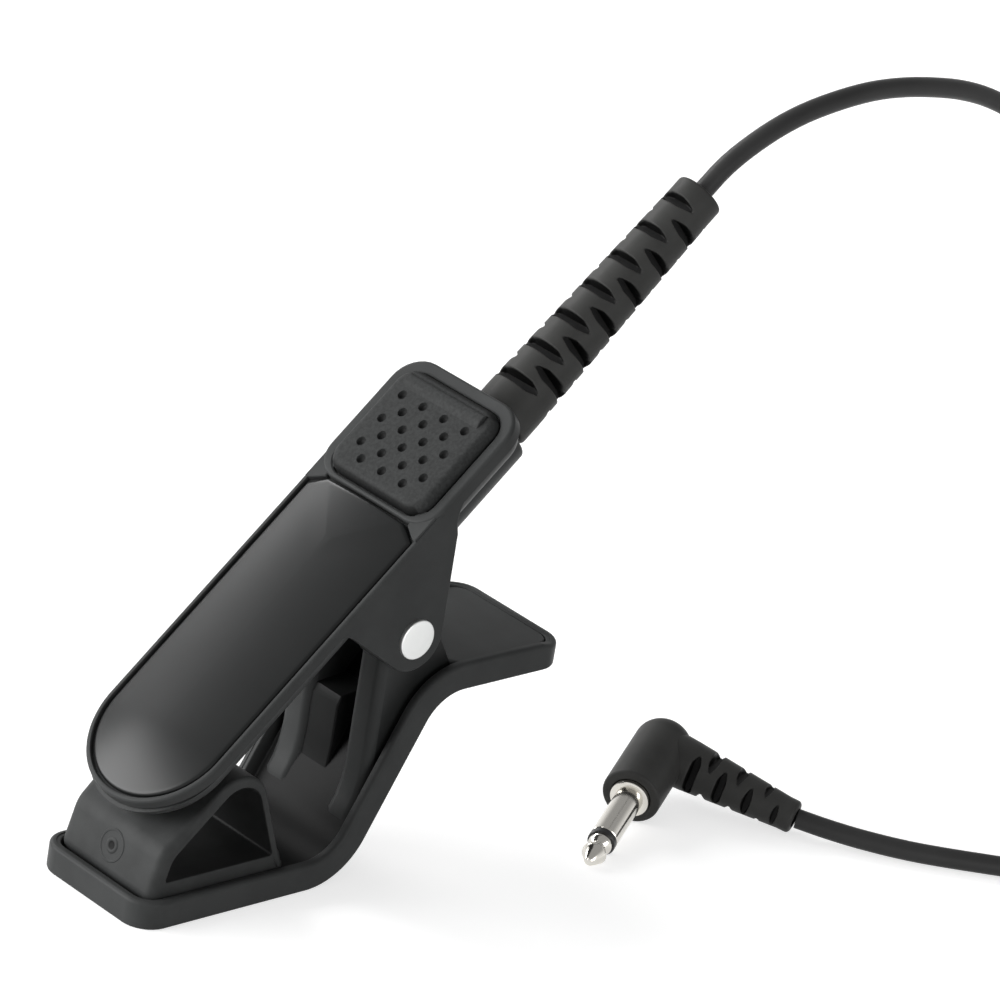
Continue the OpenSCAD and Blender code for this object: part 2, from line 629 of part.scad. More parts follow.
module coil_tie() {
    wide = coil_wide * cord_d;
    tall = coil_high * cord_d;
    gap = 0.1;
    color("#101010") at_jaw() translate([coil_at.x, coil_at.y, 0]) intersection() {
        difference() {
            rotate_extrude() polygon([[coil_mean - wide / 2 - 1, 0], [coil_mean + wide / 2 + 1, 0],
                [coil_mean + wide / 2 + 1, tall + 1], [coil_mean - wide / 2 - 1, tall + 1]]);
            rotate_extrude() polygon([[coil_mean - wide / 2 - gap, -over], [coil_mean + wide / 2 + gap, -over],
                [coil_mean + wide / 2 + gap, tall + gap], [coil_mean - wide / 2 - gap, tall + gap]]);
        }
        translate([0, -3, 0]) cube([coil_mean + wide, 6, tall + 2]);
    }
}

module cord_tail() {
    color("#1a1a1a") at_jaw() tube(tail_route, cord_r, [0, 0, 1]);
}

// From the plug's point, with Z back along its shaft
module at_plug() {
    at_jaw() translate([tip_at.x, tip_at.y, point_lift]) rotate([0, 0, plug_turn - 90])
        rotate([shaft_dip - 90, 0, 0]) children();
}

// From the middle of the plug's elbow, with Z out along the lead's arm
module at_arm() {
    at_jaw() translate([tip_at.x, tip_at.y, point_lift]) rotate([0, 0, plug_turn - 90])
        translate(elbow_s * [0, cos(shaft_dip), sin(shaft_dip)]) rotate([0, 90 + arm_dip, 0]) children();
}

module plug_tip() {
    color("#dcdcdc") at_plug() rotate_extrude() polygon([[0, 0], [0.45, 0.1], [1.55, 2], [0.95, 2.9], [0.95, 3.3],
        [1.5, tip_len - 0.4], [1.5, tip_len], [rod_r, tip_len], [rod_r, shaft_len + sleeve_deep], [0, shaft_len + sleeve_deep]]);
}

module plug_insulator() {
    color("#101010") at_plug() translate([0, 0, tip_len]) difference() {
        union() {
            cylinder(d = sleeve_d, h = ring_t);
            cylinder(r = tube_r, h = shaft_len + sleeve_deep - tip_len);
        }
        translate([0, 0, -over]) cylinder(r = rod_r, h = 2 * shaft_len);
    }
}

module plug_sleeve() {
    color("#dcdcdc") at_plug() difference() {
        union() {
            translate([0, 0, tip_len + ring_t]) cylinder(d = sleeve_d, h = shaft_len - tip_len - ring_t);
            translate([0, 0, shaft_len - 0.6]) cylinder(r = collar_r, h = 0.6 + collar_deep);
            translate([0, 0, shaft_len]) cylinder(r = shank_r, h = sleeve_deep);
        }
        cylinder(r = tube_r + 0.02, h = 3 * shaft_len);
    }
}

module plug_body() {
    color("#232325") difference() {
        union() {
            at_plug() translate([0, 0, shaft_len]) cylinder(r = plug_r, h = plug_len - plug_r);
            at_plug() translate([0, 0, elbow_s]) sphere(plug_r);
            at_arm() rotate_extrude() polygon([[0, 0], [arm_d / 2, 0], [arm_d / 2, 5], [arm_end_d / 2, arm_len - 1.4],
                [arm_end_d / 2, arm_len - 0.4], [arm_end_d / 2 - 0.4, arm_len], [0, arm_len]]);
        }
        at_arm() boot_slots(5.2, arm_pitch, 4, 0.95, cord_r + 0.3, arm_d);
        at_plug() translate([0, 0, shaft_len - over]) cylinder(r = collar_r, h = over + collar_deep);
        at_plug() translate([0, 0, shaft_len]) cylinder(r = shank_r, h = sleeve_deep);
    }
}

upper_housing();
top_cover();
thumb_pad();
nose_pad();
strain_relief();
pivot_pin();
piezo_disc();
piezo_ceramic();
sensor_cushion();
sensor_leads();
lower_jaw();
jaw_pad();
torsion_spring();
cord_run();
cord_coil();
coil_tie();
cord_tail();
plug_body();
plug_sleeve();
plug_insulator();
plug_tip();
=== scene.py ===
"""Clip-on contact pickup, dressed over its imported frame.

Two sprung jaws: the upper one is a moulded tray with a crowned cover, a dimpled thumb pad and a ribbed
cable boot; the lower one is an S-bent channel with a hollow rubber arch in its mouth. A thin lead runs
from the boot to a coil behind the clip and back to a right-angle jack plug.

The shapes are worked out in millimetres in three frames: the part's own, the jaw's (y counted from the
foot of its front edge) and the housing's (a back along it from the pin, h square to it). They are
turned to metres in the part's frame when a mesh is made.
"""

import json
import math
from types import SimpleNamespace

import bmesh
import bpy
from bpy.props import FloatProperty, FloatVectorProperty, IntProperty, PointerProperty
from mathutils import Matrix, Vector


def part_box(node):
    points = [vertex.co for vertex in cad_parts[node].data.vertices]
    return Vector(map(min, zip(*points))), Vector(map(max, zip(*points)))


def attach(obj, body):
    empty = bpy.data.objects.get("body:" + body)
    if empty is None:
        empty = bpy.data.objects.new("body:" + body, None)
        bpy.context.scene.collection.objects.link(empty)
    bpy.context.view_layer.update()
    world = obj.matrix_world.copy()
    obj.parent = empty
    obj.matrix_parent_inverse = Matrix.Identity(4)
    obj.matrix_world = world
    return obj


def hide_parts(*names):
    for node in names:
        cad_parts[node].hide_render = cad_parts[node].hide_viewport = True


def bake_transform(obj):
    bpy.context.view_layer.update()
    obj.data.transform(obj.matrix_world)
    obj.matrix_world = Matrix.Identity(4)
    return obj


bl_info = {
    "name": "Clip-on Contact Pickup",
    "version": (1, 0, 0),
    "blender": (4, 5, 0),
    "location": "3D View > Sidebar > Pickup",
    "description": "Sprung clip with a contact pickup, its ribbed boot, lead and jack plug",
    "category": "Object",
}

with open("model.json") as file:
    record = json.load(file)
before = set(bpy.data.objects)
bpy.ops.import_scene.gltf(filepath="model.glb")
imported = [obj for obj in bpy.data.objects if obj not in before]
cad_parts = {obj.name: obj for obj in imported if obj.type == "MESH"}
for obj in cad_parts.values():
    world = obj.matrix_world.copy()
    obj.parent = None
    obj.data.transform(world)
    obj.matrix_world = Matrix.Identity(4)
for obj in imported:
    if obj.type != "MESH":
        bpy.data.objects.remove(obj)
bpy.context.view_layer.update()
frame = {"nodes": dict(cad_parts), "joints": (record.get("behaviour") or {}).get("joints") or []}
MM = 0.001
UPPER, LOWER = "upper_body", "lower_body"


# ---- places and sizes from the frame, in millimetres ----

def node_box(node):
    """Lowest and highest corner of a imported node, in millimetres."""
    low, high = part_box(node)
    return low / MM, high / MM


PIN = Vector(frame["joints"][0]["pos_m"]) / MM
REST_ANGLE = math.radians(42.2)  # slope of the housing over the jaw's front plate
LOWER_JAW = node_box("lower_jaw")
JAW_FRONT = LOWER_JAW[0].y
JAW_HALF = LOWER_JAW[1].x
TO_HOUSING = Matrix.Rotation(-REST_ANGLE, 3, "X")
FROM_HOUSING = Matrix.Rotation(REST_ANGLE, 3, "X")


def housing_box(node):
    """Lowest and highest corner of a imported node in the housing's frame, in millimetres."""
    points = [TO_HOUSING @ (v.co / MM - PIN) for v in frame["nodes"][node].data.vertices]
    return [Vector([pick(p[i] for p in points) for i in range(3)]) for pick in (min, max)]


def on_jaw(x, y, z):
    """Point of the part from one in the jaw's frame."""
    return Vector((x, y + JAW_FRONT, z))


def on_housing(x, a, h):
    """Point of the part from one in the housing's frame."""
    return PIN + FROM_HOUSING @ Vector((x, a, h))


HOUSING = housing_box("upper_housing")
COVER = housing_box("top_cover")
PAD = housing_box("thumb_pad")
BOOT = housing_box("strain_relief")
TRAY_HALF = HOUSING[1].x
COVER_HALF = COVER[1].x
COVER_TOP = COVER[1].z
COVER_REAR = COVER[1].y
NOSE_A = COVER[0].y + COVER_HALF
COVER_RISE = 1.2  # cover's crown above the rim
RIM_BAND = 1.2  # height of the rim's outer band
HULL_DEPTH = 3.7  # from the band down to the hull's base
RIM_TOP = COVER_TOP - COVER_RISE
RIM_LOW = RIM_TOP - RIM_BAND
HULL_BASE = RIM_LOW - HULL_DEPTH
REAR = HOUSING[1].y
BOOT_FACE = REAR + 0.05
BOOT_AXIS_H = (BOOT[0].z + BOOT[1].z) / 2
PIN_AT = Vector((PIN.y - JAW_FRONT, PIN.z))
HULL_HALF = TRAY_HALF - 1.2
HULL_AHEAD = 0.8  # the hull's nose stands this far ahead of the rim's centre
HULL_WALL = 1.4
CAVITY_HALF = HULL_HALF - HULL_WALL
PAD_HALF = PAD[1].x
BEZEL_TOP = COVER_TOP + 0.05
BEZEL_FRONT = COVER_REAR + 0.3
EAR_GAP = 0.25  # from the rim's side in to the ears, and from the ears in to the lugs
EAR_THICK = 1.9
EAR_OUT = TRAY_HALF - EAR_GAP
LUG_OUT = EAR_OUT - EAR_THICK - EAR_GAP
EAR_R = 4.3  # round the pin
SEAT_R = 4.8  # of the boot's seat
HANDLE_TOP = 25.15
RIM_WIDTH = 1.3  # of the lower jaw's rim
MATH = "ShaderNodeMath"


def turns(start, end, steps):
    """Angles from start to end degrees, in radians."""
    return [math.radians(start + (end - start) * i / steps) for i in range(steps + 1)]


def placed(origin, turn, shift, tip):
    """Matrix that carries a piece made along Z to its place: tipped about X by degrees, shifted in a
    turned frame and moved to its origin, in metres."""
    return (Matrix.Translation(Vector(origin) * MM) @ turn.to_4x4() @ Matrix.Translation(Vector(shift) * MM)
            @ Matrix.Rotation(math.radians(tip), 4, "X"))


# ---- outlines ----

def arc(cx, cy, r, start, end, steps):
    """Points of an arc about (cx, cy), between two angles in degrees."""
    return [(cx + r * math.cos(t), cy + r * math.sin(t)) for t in turns(start, end, steps)]


def offset(outline, distances):
    """Anticlockwise outline with each corner moved inwards by its own distance."""
    moved = []
    for i, d in enumerate(distances):
        a, b, c = (Vector(outline[j % len(outline)]) for j in (i - 1, i, i + 1))
        u, v = (b - a).normalized(), (c - b).normalized()
        inward = Vector((-u.y - v.y, u.x + v.x)) / max(0.3, 1 + u.dot(v))
        moved.append(tuple(b + inward * d))
    return moved


def rounded(corners, radii, steps=8):
    """Outline with each corner rounded to its own radius; a radius of 0 leaves it sharp."""
    made = []
    for i, r in enumerate(radii):
        a, b, c = (Vector(corners[j % len(corners)]) for j in (i - 1, i, i + 1))
        u, v = (b - a).normalized(), (c - b).normalized()
        turn = math.atan2(u.x * v.y - u.y * v.x, u.dot(v))
        if r <= 0 or abs(turn) < 0.01:
            made.append(tuple(b))
            continue
        side = math.copysign(1, turn)
        left = Vector((-u.y, u.x)) * side
        centre = b - u * r * math.tan(abs(turn) / 2) + left * r
        start = math.degrees(math.atan2(-left.y, -left.x))
        made += arc(centre.x, centre.y, r, start, start + math.degrees(turn), steps)
    return made


def along_z(along, u, v):
    """Point of a piece that is turned about Z, before it gets its place."""
    return Vector((u, v, along))


def block_ring(half, front, rear, front_r, rear_r=None, steps=8):
    """Plan of a block across the clip, with its own front and rear corner radius."""
    rear_r = front_r if rear_r is None else rear_r
    right = arc(half - front_r, front + front_r, front_r, -90, 0, steps)
    right += arc(half - rear_r, rear - rear_r, rear_r, 0, 90, steps)
    return right + [(-x, y) for x, y in reversed(right)]


def housing_ring(half, rear, corner, ahead=0.0):
    """Plan of the housing at a half width: round nose, straight sides, rounded rear corners."""
    right = arc(0, NOSE_A - ahead, half, -90, 0, 28) + arc(half - corner, rear - corner, corner, 0, 90, 8)
    return right + [(-x, y) for x, y in reversed(right[1:])]


def cover_ring(half, rear, cut_x, cut_a):
    """Plan of the cover at a half width: round nose, chamfered rear corners, and points along its rear."""
    cut_x = min(cut_x, half * 0.8)
    right = arc(0, NOSE_A, half, -90, 0, 28) + [(half, rear - cut_a)]
    right += [((half - cut_x) * (1 - i / 8), rear) for i in range(9)]
    return right + [(-x, y) for x, y in reversed(right[1:-1])]


# ---- shells ----

class Shell:
    """Points, in millimetres in the part's frame, and faces of one piece."""

    def __init__(self, place=on_jaw):
        self.place = place
        self.points = []
        self.faces = []

    def wall(self, rings):
        """Walls between closed rings of equal length; returns the first point's number."""
        number, first = len(rings[0]), len(self.points)
        for ring in rings:
            self.points += [self.place(*p) for p in ring]
        for low in range(first, first + (len(rings) - 1) * number, number):
            for k in range(number):
                n = (k + 1) % number
                self.faces.append((low + k, low + n, low + n + number, low + k + number))
        return first

    def stack(self, rings):
        """Walls between closed rings, with both ends capped."""
        number = len(rings[0])
        first = self.wall(rings)
        last = first + (len(rings) - 1) * number
        self.faces.append(tuple(reversed(range(first, first + number))))
        self.faces.append(tuple(range(last, last + number)))

    def plate(self, outline, x0, x1, radii, steps=3):
        """Plate across the clip, from its anticlockwise outline in the side plane; radii round
        its edges, one for each point or one for all."""
        if not isinstance(radii, list):
            radii = [radii] * len(outline)
        rings = []
        for face, inwards in ((x0, 1), (x1, -1)):
            for t in turns(0, 90, steps) if inwards > 0 else turns(90, 0, steps):
                flat = offset(outline, [r * (1 - math.sin(t)) for r in radii])
                rings.append([(face + inwards * r * (1 - math.cos(t)), y, z)
                              for (y, z), r in zip(flat, radii)])
        self.stack(rings)

    def loop(self, outer, inner, half, outer_edges, inner_edge, steps=4):
        """Band across the clip whose section lies between two outlines of as many points, with its
        outer edges rounded point by point and its inner ones alike."""
        rings = []
        for side in (-1, 1):
            for t in turns(90, 0, steps) if side < 0 else turns(0, 90, steps):
                flat = offset(outer, [r * (1 - math.cos(t)) for r in outer_edges])
                rings.append([(side * (half - r * (1 - math.sin(t))), y, z)
                              for (y, z), r in zip(flat, outer_edges)])
        for side in (1, -1):
            for t in turns(90, 0, 3) if side > 0 else turns(0, 90, 3):
                wide = offset(inner, [-inner_edge * (1 - math.cos(t))] * len(inner))
                rings.append([(side * (half - inner_edge * (1 - math.sin(t))), y, z) for y, z in wide])
        self.wall(rings + rings[:1])

    def turned(self, profile, steps=48):
        """Solid turned about the axis of its place's first coordinate; the profile holds
        (distance along the axis, radius)."""
        angles = [2 * math.pi * k / steps for k in range(steps)]
        self.stack([[(s, max(r, 0.01) * math.cos(t), max(r, 0.01) * math.sin(t)) for t in angles]
                    for s, r in profile])

    def piece(self, name):
        """Mesh object of the shell."""
        return new_piece(name, self.points, self.faces)


def rounding(r, steps=4):
    """(inset, drop) of each point of a convex edge of radius r, from the wall to the top."""
    return [(r * (1 - math.cos(t)), r * (1 - math.sin(t))) for t in turns(0, 90, steps)]


def level(ring, h):
    """A flat ring's points at a height."""
    return [(*point, h) for point in ring]


# ---- settings ----

def linear(code):
    """Linear colour from an sRGB hex value."""
    parts = [int(code[i:i + 2], 16) / 255 for i in (1, 3, 5)]
    return [c / 12.92 if c <= 0.04045 else ((c + 0.055) / 1.055) ** 2.4 for c in parts] + [1.0]


def size(name, millimetres, about):
    """Length property with its default in millimetres."""
    return FloatProperty(name=name, description=about, default=millimetres * MM, min=0, precision=5,
                         step=0.01, unit="LENGTH")


def count(name, number, about):
    """Number property of at least 1."""
    return IntProperty(name=name, description=about, default=number, min=1)


def angle(name, degrees, about):
    """Angle property with its default in degrees."""
    return FloatProperty(name=name, description=about, default=math.radians(degrees), subtype="ANGLE")


def tint(name, code, about):
    """Colour property with its default as an sRGB hex value."""
    return FloatVectorProperty(name=name, description=about, default=linear(code), min=0, max=1, size=4,
                               subtype="COLOR")


def in_mm(group):
    """A settings group's values, with its lengths in millimetres."""
    kinds = group.bl_rna.properties
    values = {name: getattr(group, name) for name in group.__annotations__}
    return SimpleNamespace(**{name: value / MM if kinds[name].unit == "LENGTH" else value
                              for name, value in values.items()})


class PickupFinishes(bpy.types.PropertyGroup):
    """Colours of the clip's materials."""
    abs_tint: tint("Moulded ABS", "#393a3a", "Black plastic of the tray and the lower jaw")
    cover_tint: tint("Satin ABS", "#151616", "Black plastic of the top cover")
    elastomer_tint: tint("Elastomer", "#2a2b2b", "Grained elastomer of the thumb pad")
    rubber_tint: tint("Rubber", "#323333", "Rubber of the two jaw pads")
    boot_tint: tint("Overmould", "#363635", "PVC of the boot and the plug's body")
    lead_tint: tint("Lead", "#323232", "PVC jacket of the lead")
    nickel_tint: tint("Nickel", "#d9d6cf", "Nickel plating of the plug")
    pin_tint: tint("Pin", "#dcdddc", "Tumbled nickel plating of the hinge pin")
    spring_tint: tint("Spring", "#9b9c9e", "Drawn wire of the spring")
    insulator_tint: tint("Insulator", "#171717", "Insulating ring of the plug")
    brass_tint: tint("Brass", "#c9a35a", "Sensor's brass disc")
    ceramic_tint: tint("Ceramic", "#dad4c7", "Sensor's silvered ceramic")
    foam_tint: tint("Foam", "#434343", "Cushion over the sensor")
    wire_tint: tint("Wires", "#942923", "Insulation of the sensor's wires")


class PickupStage(bpy.types.PropertyGroup):
    """Floor, lamps and camera."""
    floor_width: size("Floor width", 4000, "Side of the square floor")
    floor_tint: tint("Floor", "#cccccc", "Colour of the floor and backdrop")
    ambient: FloatProperty(name="Ambient", description="Strength of the even light from all round",
                           default=0.3, min=0)
    key: FloatProperty(name="Key lamp", description="Radiance of the large lamp at the front left",
                       default=8.0, min=0)
    left: FloatProperty(name="Left lamp", description="Radiance of the lamp high on the left",
                        default=10.0, min=0)
    right: FloatProperty(name="Right lamp", description="Radiance of the low lamp on the right",
                         default=4.0, min=0)
    azimuth: angle("Azimuth", 44.31, "Camera's way round the clip, 0 from the front")
    elevation: angle("Elevation", 23.319, "Camera's height above the horizon")
    roll: angle("Roll", 9.545, "Camera's turn about its own axis")
    distance: size("Distance", 758.3, "From the aim point to the camera")
    lens: FloatProperty(name="Lens", description="Focal length on a 36 mm sensor", default=233.75, min=1)


class PickupLead(bpy.types.PropertyGroup):
    """The lead's free length, from the boot to the plug."""
    diameter: size("Diameter", 2.5, "Diameter of the lead")
    coil_radius: size("Coil radius", 15, "Radius at the middle of the coil's turns")
    sides: count("Sides", 14, "Sides of the lead's cross-section")
    spacing: size("Spacing", 1.6, "Spacing of its rings")


# ---- materials ----

def add(tree, kind, links=None, **settings):
    """Adds a node with its settings; links maps an input to a value, an output, or a node that gives
    its first output."""
    made = tree.nodes.new(kind)
    for name, value in settings.items():
        setattr(made, name, value)
    for name, value in (links or {}).items():
        if isinstance(value, bpy.types.Node):
            value = value.outputs[0]
        if isinstance(value, bpy.types.NodeSocket):
            tree.links.new(value, made.inputs[name])
        else:
            made.inputs[name].default_value = value
    return made


def new_material(name):
    """An empty node material, its tree and its Object coordinates."""
    made = bpy.data.materials.new(name)
    made.use_nodes = True
    made.node_tree.nodes.clear()
    return made, made.node_tree, add(made.node_tree, "ShaderNodeTexCoord").outputs["Object"]


def grain(tree, at, size_mm, height_mm, strength):
    """Normal of a surface with a random grain of a real size."""
    noise = add(tree, "ShaderNodeTexNoise",
                {"Vector": at, "Scale": 1 / (size_mm * MM), "Detail": 2.0, "Roughness": 0.6})
    return add(tree, "ShaderNodeBump", {
        "Height": noise.outputs["Fac"], "Strength": strength, "Distance": height_mm * MM})


def drift(tree, at, size_mm, colour, spread):
    """The colour, drifting a little darker and paler over patches of a real size."""
    noise = add(tree, "ShaderNodeTexNoise", {"Vector": at, "Scale": 1 / (size_mm * MM), "Detail": 3})
    ramp = add(tree, "ShaderNodeValToRGB", {"Fac": noise.outputs["Fac"]})
    for element, place, share in zip(ramp.color_ramp.elements, (0.35, 0.65), (1 - spread, 1 + spread)):
        element.position = place
        element.color = [min(1, c * share) for c in colour[:3]] + [1]
    return ramp.outputs["Color"]


def painted_shade(tree, colour, depth_mm, share):
    """The colour with painted shade: down to a share of itself where the piece's depth attribute runs that
    deep.
    """
    depth = add(tree, "ShaderNodeAttribute", attribute_name="painted_shade_depth").outputs["Fac"]
    fall = add(tree, "ShaderNodeMapRange", {
        "Value": depth, "From Min": 0.0, "From Max": depth_mm * MM, "To Min": 1.0, "To Max": share})
    return add(tree, "ShaderNodeVectorMath", {0: colour, "Scale": fall}, operation="SCALE")


def close(made, tree, links):
    """Closes a material with one Principled shader."""
    shader = add(tree, "ShaderNodeBsdfPrincipled", links)
    add(tree, "ShaderNodeOutputMaterial", {"Surface": shader})
    return made


def moulded_abs(tints):
    """Black ABS from a spark-eroded mould: a fine even texture that spreads its highlights."""
    made, tree, at = new_material("moulded_abs_black")
    return close(made, tree, {
        # painted shade: the colour falls to 12% of itself 1.8 mm down the jaw's channel, on the lugs' feet
        # and on the wall between them
        "Base Color": painted_shade(tree, drift(tree, at, 6, tints.abs_tint, 0.08), 1.8, 0.12),
        "Roughness": 0.42, "IOR": 1.54, "Specular IOR Level": 0.06,
        "Normal": grain(tree, at, 0.16, 0.012, 0.5)})


def satin_abs(tints):
    """Black ABS cover from a finer mould: a satin sheen with soft, wide highlights."""
    made, tree, at = new_material("satin_abs_black")
    return close(made, tree, {
        "Base Color": drift(tree, at, 9, tints.cover_tint, 0.08), "Roughness": 0.3, "IOR": 1.54,
        "Specular IOR Level": 0.25,
        "Normal": grain(tree, at, 0.12, 0.006, 0.4)})


def grained_elastomer(tints):
    """Moulded elastomer of the thumb pad: matte, with a fine dry grain that catches the light."""
    made, tree, at = new_material("grained_elastomer_black")
    return close(made, tree, {
        # painted shade in the dimples: down to 30% of the colour at 0.25 mm deep
        "Base Color": painted_shade(tree, drift(tree, at, 0.4, tints.elastomer_tint, 0.2), 0.25, 0.3),
        "Roughness": 0.62, "IOR": 1.5, "Specular IOR Level": 0.12,
        "Normal": grain(tree, at, 0.2, 0.03, 0.7)})


def pressed_rubber(tints):
    """Pressed black rubber: matte, a little uneven, with a soft bloom."""
    made, tree, at = new_material("pressed_rubber_black")
    return close(made, tree, {
        # painted shade in the arch's tunnel and on the gate mark's eye, down to 5% of the colour at 0.3 mm
        "Base Color": painted_shade(tree, drift(tree, at, 3, tints.rubber_tint, 0.12), 0.3, 0.05),
        "Roughness": 0.55, "IOR": 1.5, "Specular IOR Level": 0.12,
        "Normal": grain(tree, at, 0.35, 0.015, 0.5)})


def overmoulded_pvc(tints):
    """Flexible PVC of the boots: matte, faintly orange-peeled."""
    made, tree, at = new_material("overmoulded_pvc_black")
    return close(made, tree, {
        # painted shade in the slots of the boot and the plug's arm: down to 4% of the colour at 0.35 mm deep
        "Base Color": painted_shade(tree, drift(tree, at, 4, tints.boot_tint, 0.1), 0.35, 0.04),
        "Roughness": 0.5, "IOR": 1.53, "Specular IOR Level": 0.12,
        "Normal": grain(tree, at, 0.5, 0.012, 0.45)})


def extruded_pvc(tints):
    """Extruded PVC jacket of the lead: satin, with a long low ripple."""
    made, tree, at = new_material("extruded_pvc_black")
    return close(made, tree, {
        "Base Color": drift(tree, at, 8, tints.lead_tint, 0.08), "Roughness": 0.44, "IOR": 1.53,
        "Specular IOR Level": 0.15,
        "Normal": grain(tree, at, 0.9, 0.01, 0.4)})


def bright_nickel(tints):
    """Bright nickel over turned brass: clear reflections with faint tool rings."""
    made, tree, at = new_material("turned_bright_nickel")
    return close(made, tree, {
        "Base Color": tints.nickel_tint[:], "Metallic": 1.0, "Roughness": 0.16,
        "Normal": grain(tree, at, 0.25, 0.003, 0.35)})


def tumbled_nickel(tints):
    """Nickel on the tumbled pin: pale, with blurred reflections."""
    made, tree, at = new_material("tumbled_nickel_steel")
    return close(made, tree, {
        "Base Color": tints.pin_tint[:], "Metallic": 1.0, "Roughness": 0.42,
        "Normal": grain(tree, at, 0.2, 0.004, 0.3)})


def spring_wire(tints):
    """Drawn and plated spring wire: grey metal with a dull shine."""
    made, tree, at = new_material("drawn_spring_wire")
    return close(made, tree, {
        "Base Color": tints.spring_tint[:], "Metallic": 1.0, "Roughness": 0.33,
        "Normal": grain(tree, at, 0.15, 0.004, 0.4)})


def moulded_insulator(tints):
    """Black insulator of the plug: smooth and half glossy."""
    made, tree, at = new_material("moulded_insulator_black")
    return close(made, tree, {
        "Base Color": drift(tree, at, 2, tints.insulator_tint, 0.08), "Roughness": 0.35,
        "Normal": grain(tree, at, 0.2, 0.004, 0.3)})


def rolled_brass(tints):
    """Thin rolled brass of the sensor disc: yellow, with fine rolling grain."""
    made, tree, at = new_material("rolled_brass")
    return close(made, tree, {
        "Base Color": tints.brass_tint[:], "Metallic": 1.0, "Roughness": 0.3,
        "Normal": grain(tree, at, 0.3, 0.004, 0.3)})


def silvered_ceramic(tints):
    """Silvered piezo ceramic: pale and dull, slightly sandy."""
    made, tree, at = new_material("silvered_piezo_ceramic")
    return close(made, tree, {
        "Base Color": drift(tree, at, 1, tints.ceramic_tint, 0.05), "Roughness": 0.55,
        "Normal": grain(tree, at, 0.15, 0.006, 0.4)})


def cell_foam(tints):
    """Closed-cell foam under the cover: dark grey, its cells open where it is cut."""
    made, tree, at = new_material("closed_cell_foam_grey")
    return close(made, tree, {
        "Base Color": drift(tree, at, 0.5, tints.foam_tint, 0.2), "Roughness": 0.9,
        "Normal": grain(tree, at, 0.4, 0.08, 0.8)})


def wire_pvc(tints):
    """Thin PVC insulation of the sensor's wires: red, half glossy."""
    made, tree, at = new_material("wire_pvc_red")
    return close(made, tree, {
        "Base Color": drift(tree, at, 2, tints.wire_tint, 0.06), "Roughness": 0.4,
        "Normal": grain(tree, at, 0.3, 0.004, 0.3)})


MADE = {}  # the materials made so far, by their makers


def finish(maker):
    """The material that a maker makes, made once."""
    if maker not in MADE:
        MADE[maker] = maker(bpy.context.scene.pickup_finishes)
    return MADE[maker]


# ---- node-made shapes ----

def new_tree(name, inputs):
    """Geometry tree with a geometry input and output and named inputs; returns it and its input node."""
    tree = bpy.data.node_groups.new(name, "GeometryNodeTree")
    tree.interface.new_socket("Geometry", in_out="INPUT", socket_type="NodeSocketGeometry")
    for label, kind in inputs.items():
        tree.interface.new_socket(label, in_out="INPUT", socket_type="NodeSocket" + kind)
    tree.interface.new_socket("Material", in_out="INPUT", socket_type="NodeSocketMaterial")
    tree.interface.new_socket("Geometry", in_out="OUTPUT", socket_type="NodeSocketGeometry")
    return tree, add(tree, "NodeGroupInput").outputs


def close_tree(tree, given, geometry):
    """Ends a geometry tree: instances made real, material set."""
    real = add(tree, "GeometryNodeRealizeInstances", {"Geometry": geometry})
    coated = add(tree, "GeometryNodeSetMaterial", {"Geometry": real, "Material": given["Material"]})
    add(tree, "NodeGroupOutput", {"Geometry": coated})
    return tree


def tube_tree():
    """A round tube along a line of points."""
    tree, given = new_tree("tube_along_line", {"Radius": "Float", "Sides": "Int"})
    line = add(tree, "GeometryNodeMeshToCurve", {"Mesh": given["Geometry"]})
    ring = add(tree, "GeometryNodeCurvePrimitiveCircle", {
        "Radius": given["Radius"], "Resolution": given["Sides"]})
    tube = add(tree, "GeometryNodeCurveToMesh", {"Curve": line, "Profile Curve": ring, "Fill Caps": True})
    return close_tree(tree, given, tube)


def through_tree(piece, tree, values):
    """Runs a mesh piece through a geometry tree and keeps the result as its plain mesh."""
    modifier = piece.modifiers.new(tree.name, "NODES")
    modifier.node_group = tree
    sockets = {i.name: i.identifier for i in tree.interface.items_tree if i.in_out == "INPUT"}
    for label, value in values.items():
        modifier[sockets[label]] = value
    bake(piece)


def bake(piece):
    """Puts the result of a piece's modifiers into its mesh and removes them."""
    graph = bpy.context.evaluated_depsgraph_get()
    graph.update()
    made = bpy.data.meshes.new_from_object(piece.evaluated_get(graph), depsgraph=graph)
    piece.modifiers.clear()
    piece.data = made
    made.name = piece.name


# ---- pieces ----

def new_piece(name, points, faces=(), edges=()):
    """Mesh object from points in millimetres in the part's frame."""
    mesh = bpy.data.meshes.new(name)
    mesh.from_pydata([Vector(p) * MM for p in points], edges, faces)
    made = bpy.data.objects.new(name, mesh)
    bpy.context.scene.collection.objects.link(made)
    return made


def face_outwards(piece):
    """Turns a closed piece's faces outwards."""
    work = bmesh.new()
    work.from_mesh(piece.data)
    bmesh.ops.remove_doubles(work, verts=work.verts, dist=1e-6)
    bmesh.ops.recalc_face_normals(work, faces=work.faces)
    work.to_mesh(piece.data)
    work.free()


def settle(piece, body, nodes, maker, crease=38):
    """Shades a piece, gives it its material and lets it ride on its body, if it has only one."""
    face_outwards(piece)
    piece.data.polygons.foreach_set("use_smooth", [True] * len(piece.data.polygons))
    piece.data.set_sharp_from_angle(angle=math.radians(crease))
    even = piece.modifiers.new("even_normals", "WEIGHTED_NORMAL")
    even.keep_sharp = True
    bake(piece)
    piece.data.materials.clear()
    piece.data.materials.append(finish(maker))
    if body:
        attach(piece, body)
    if nodes:
        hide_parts(*nodes)
    return piece


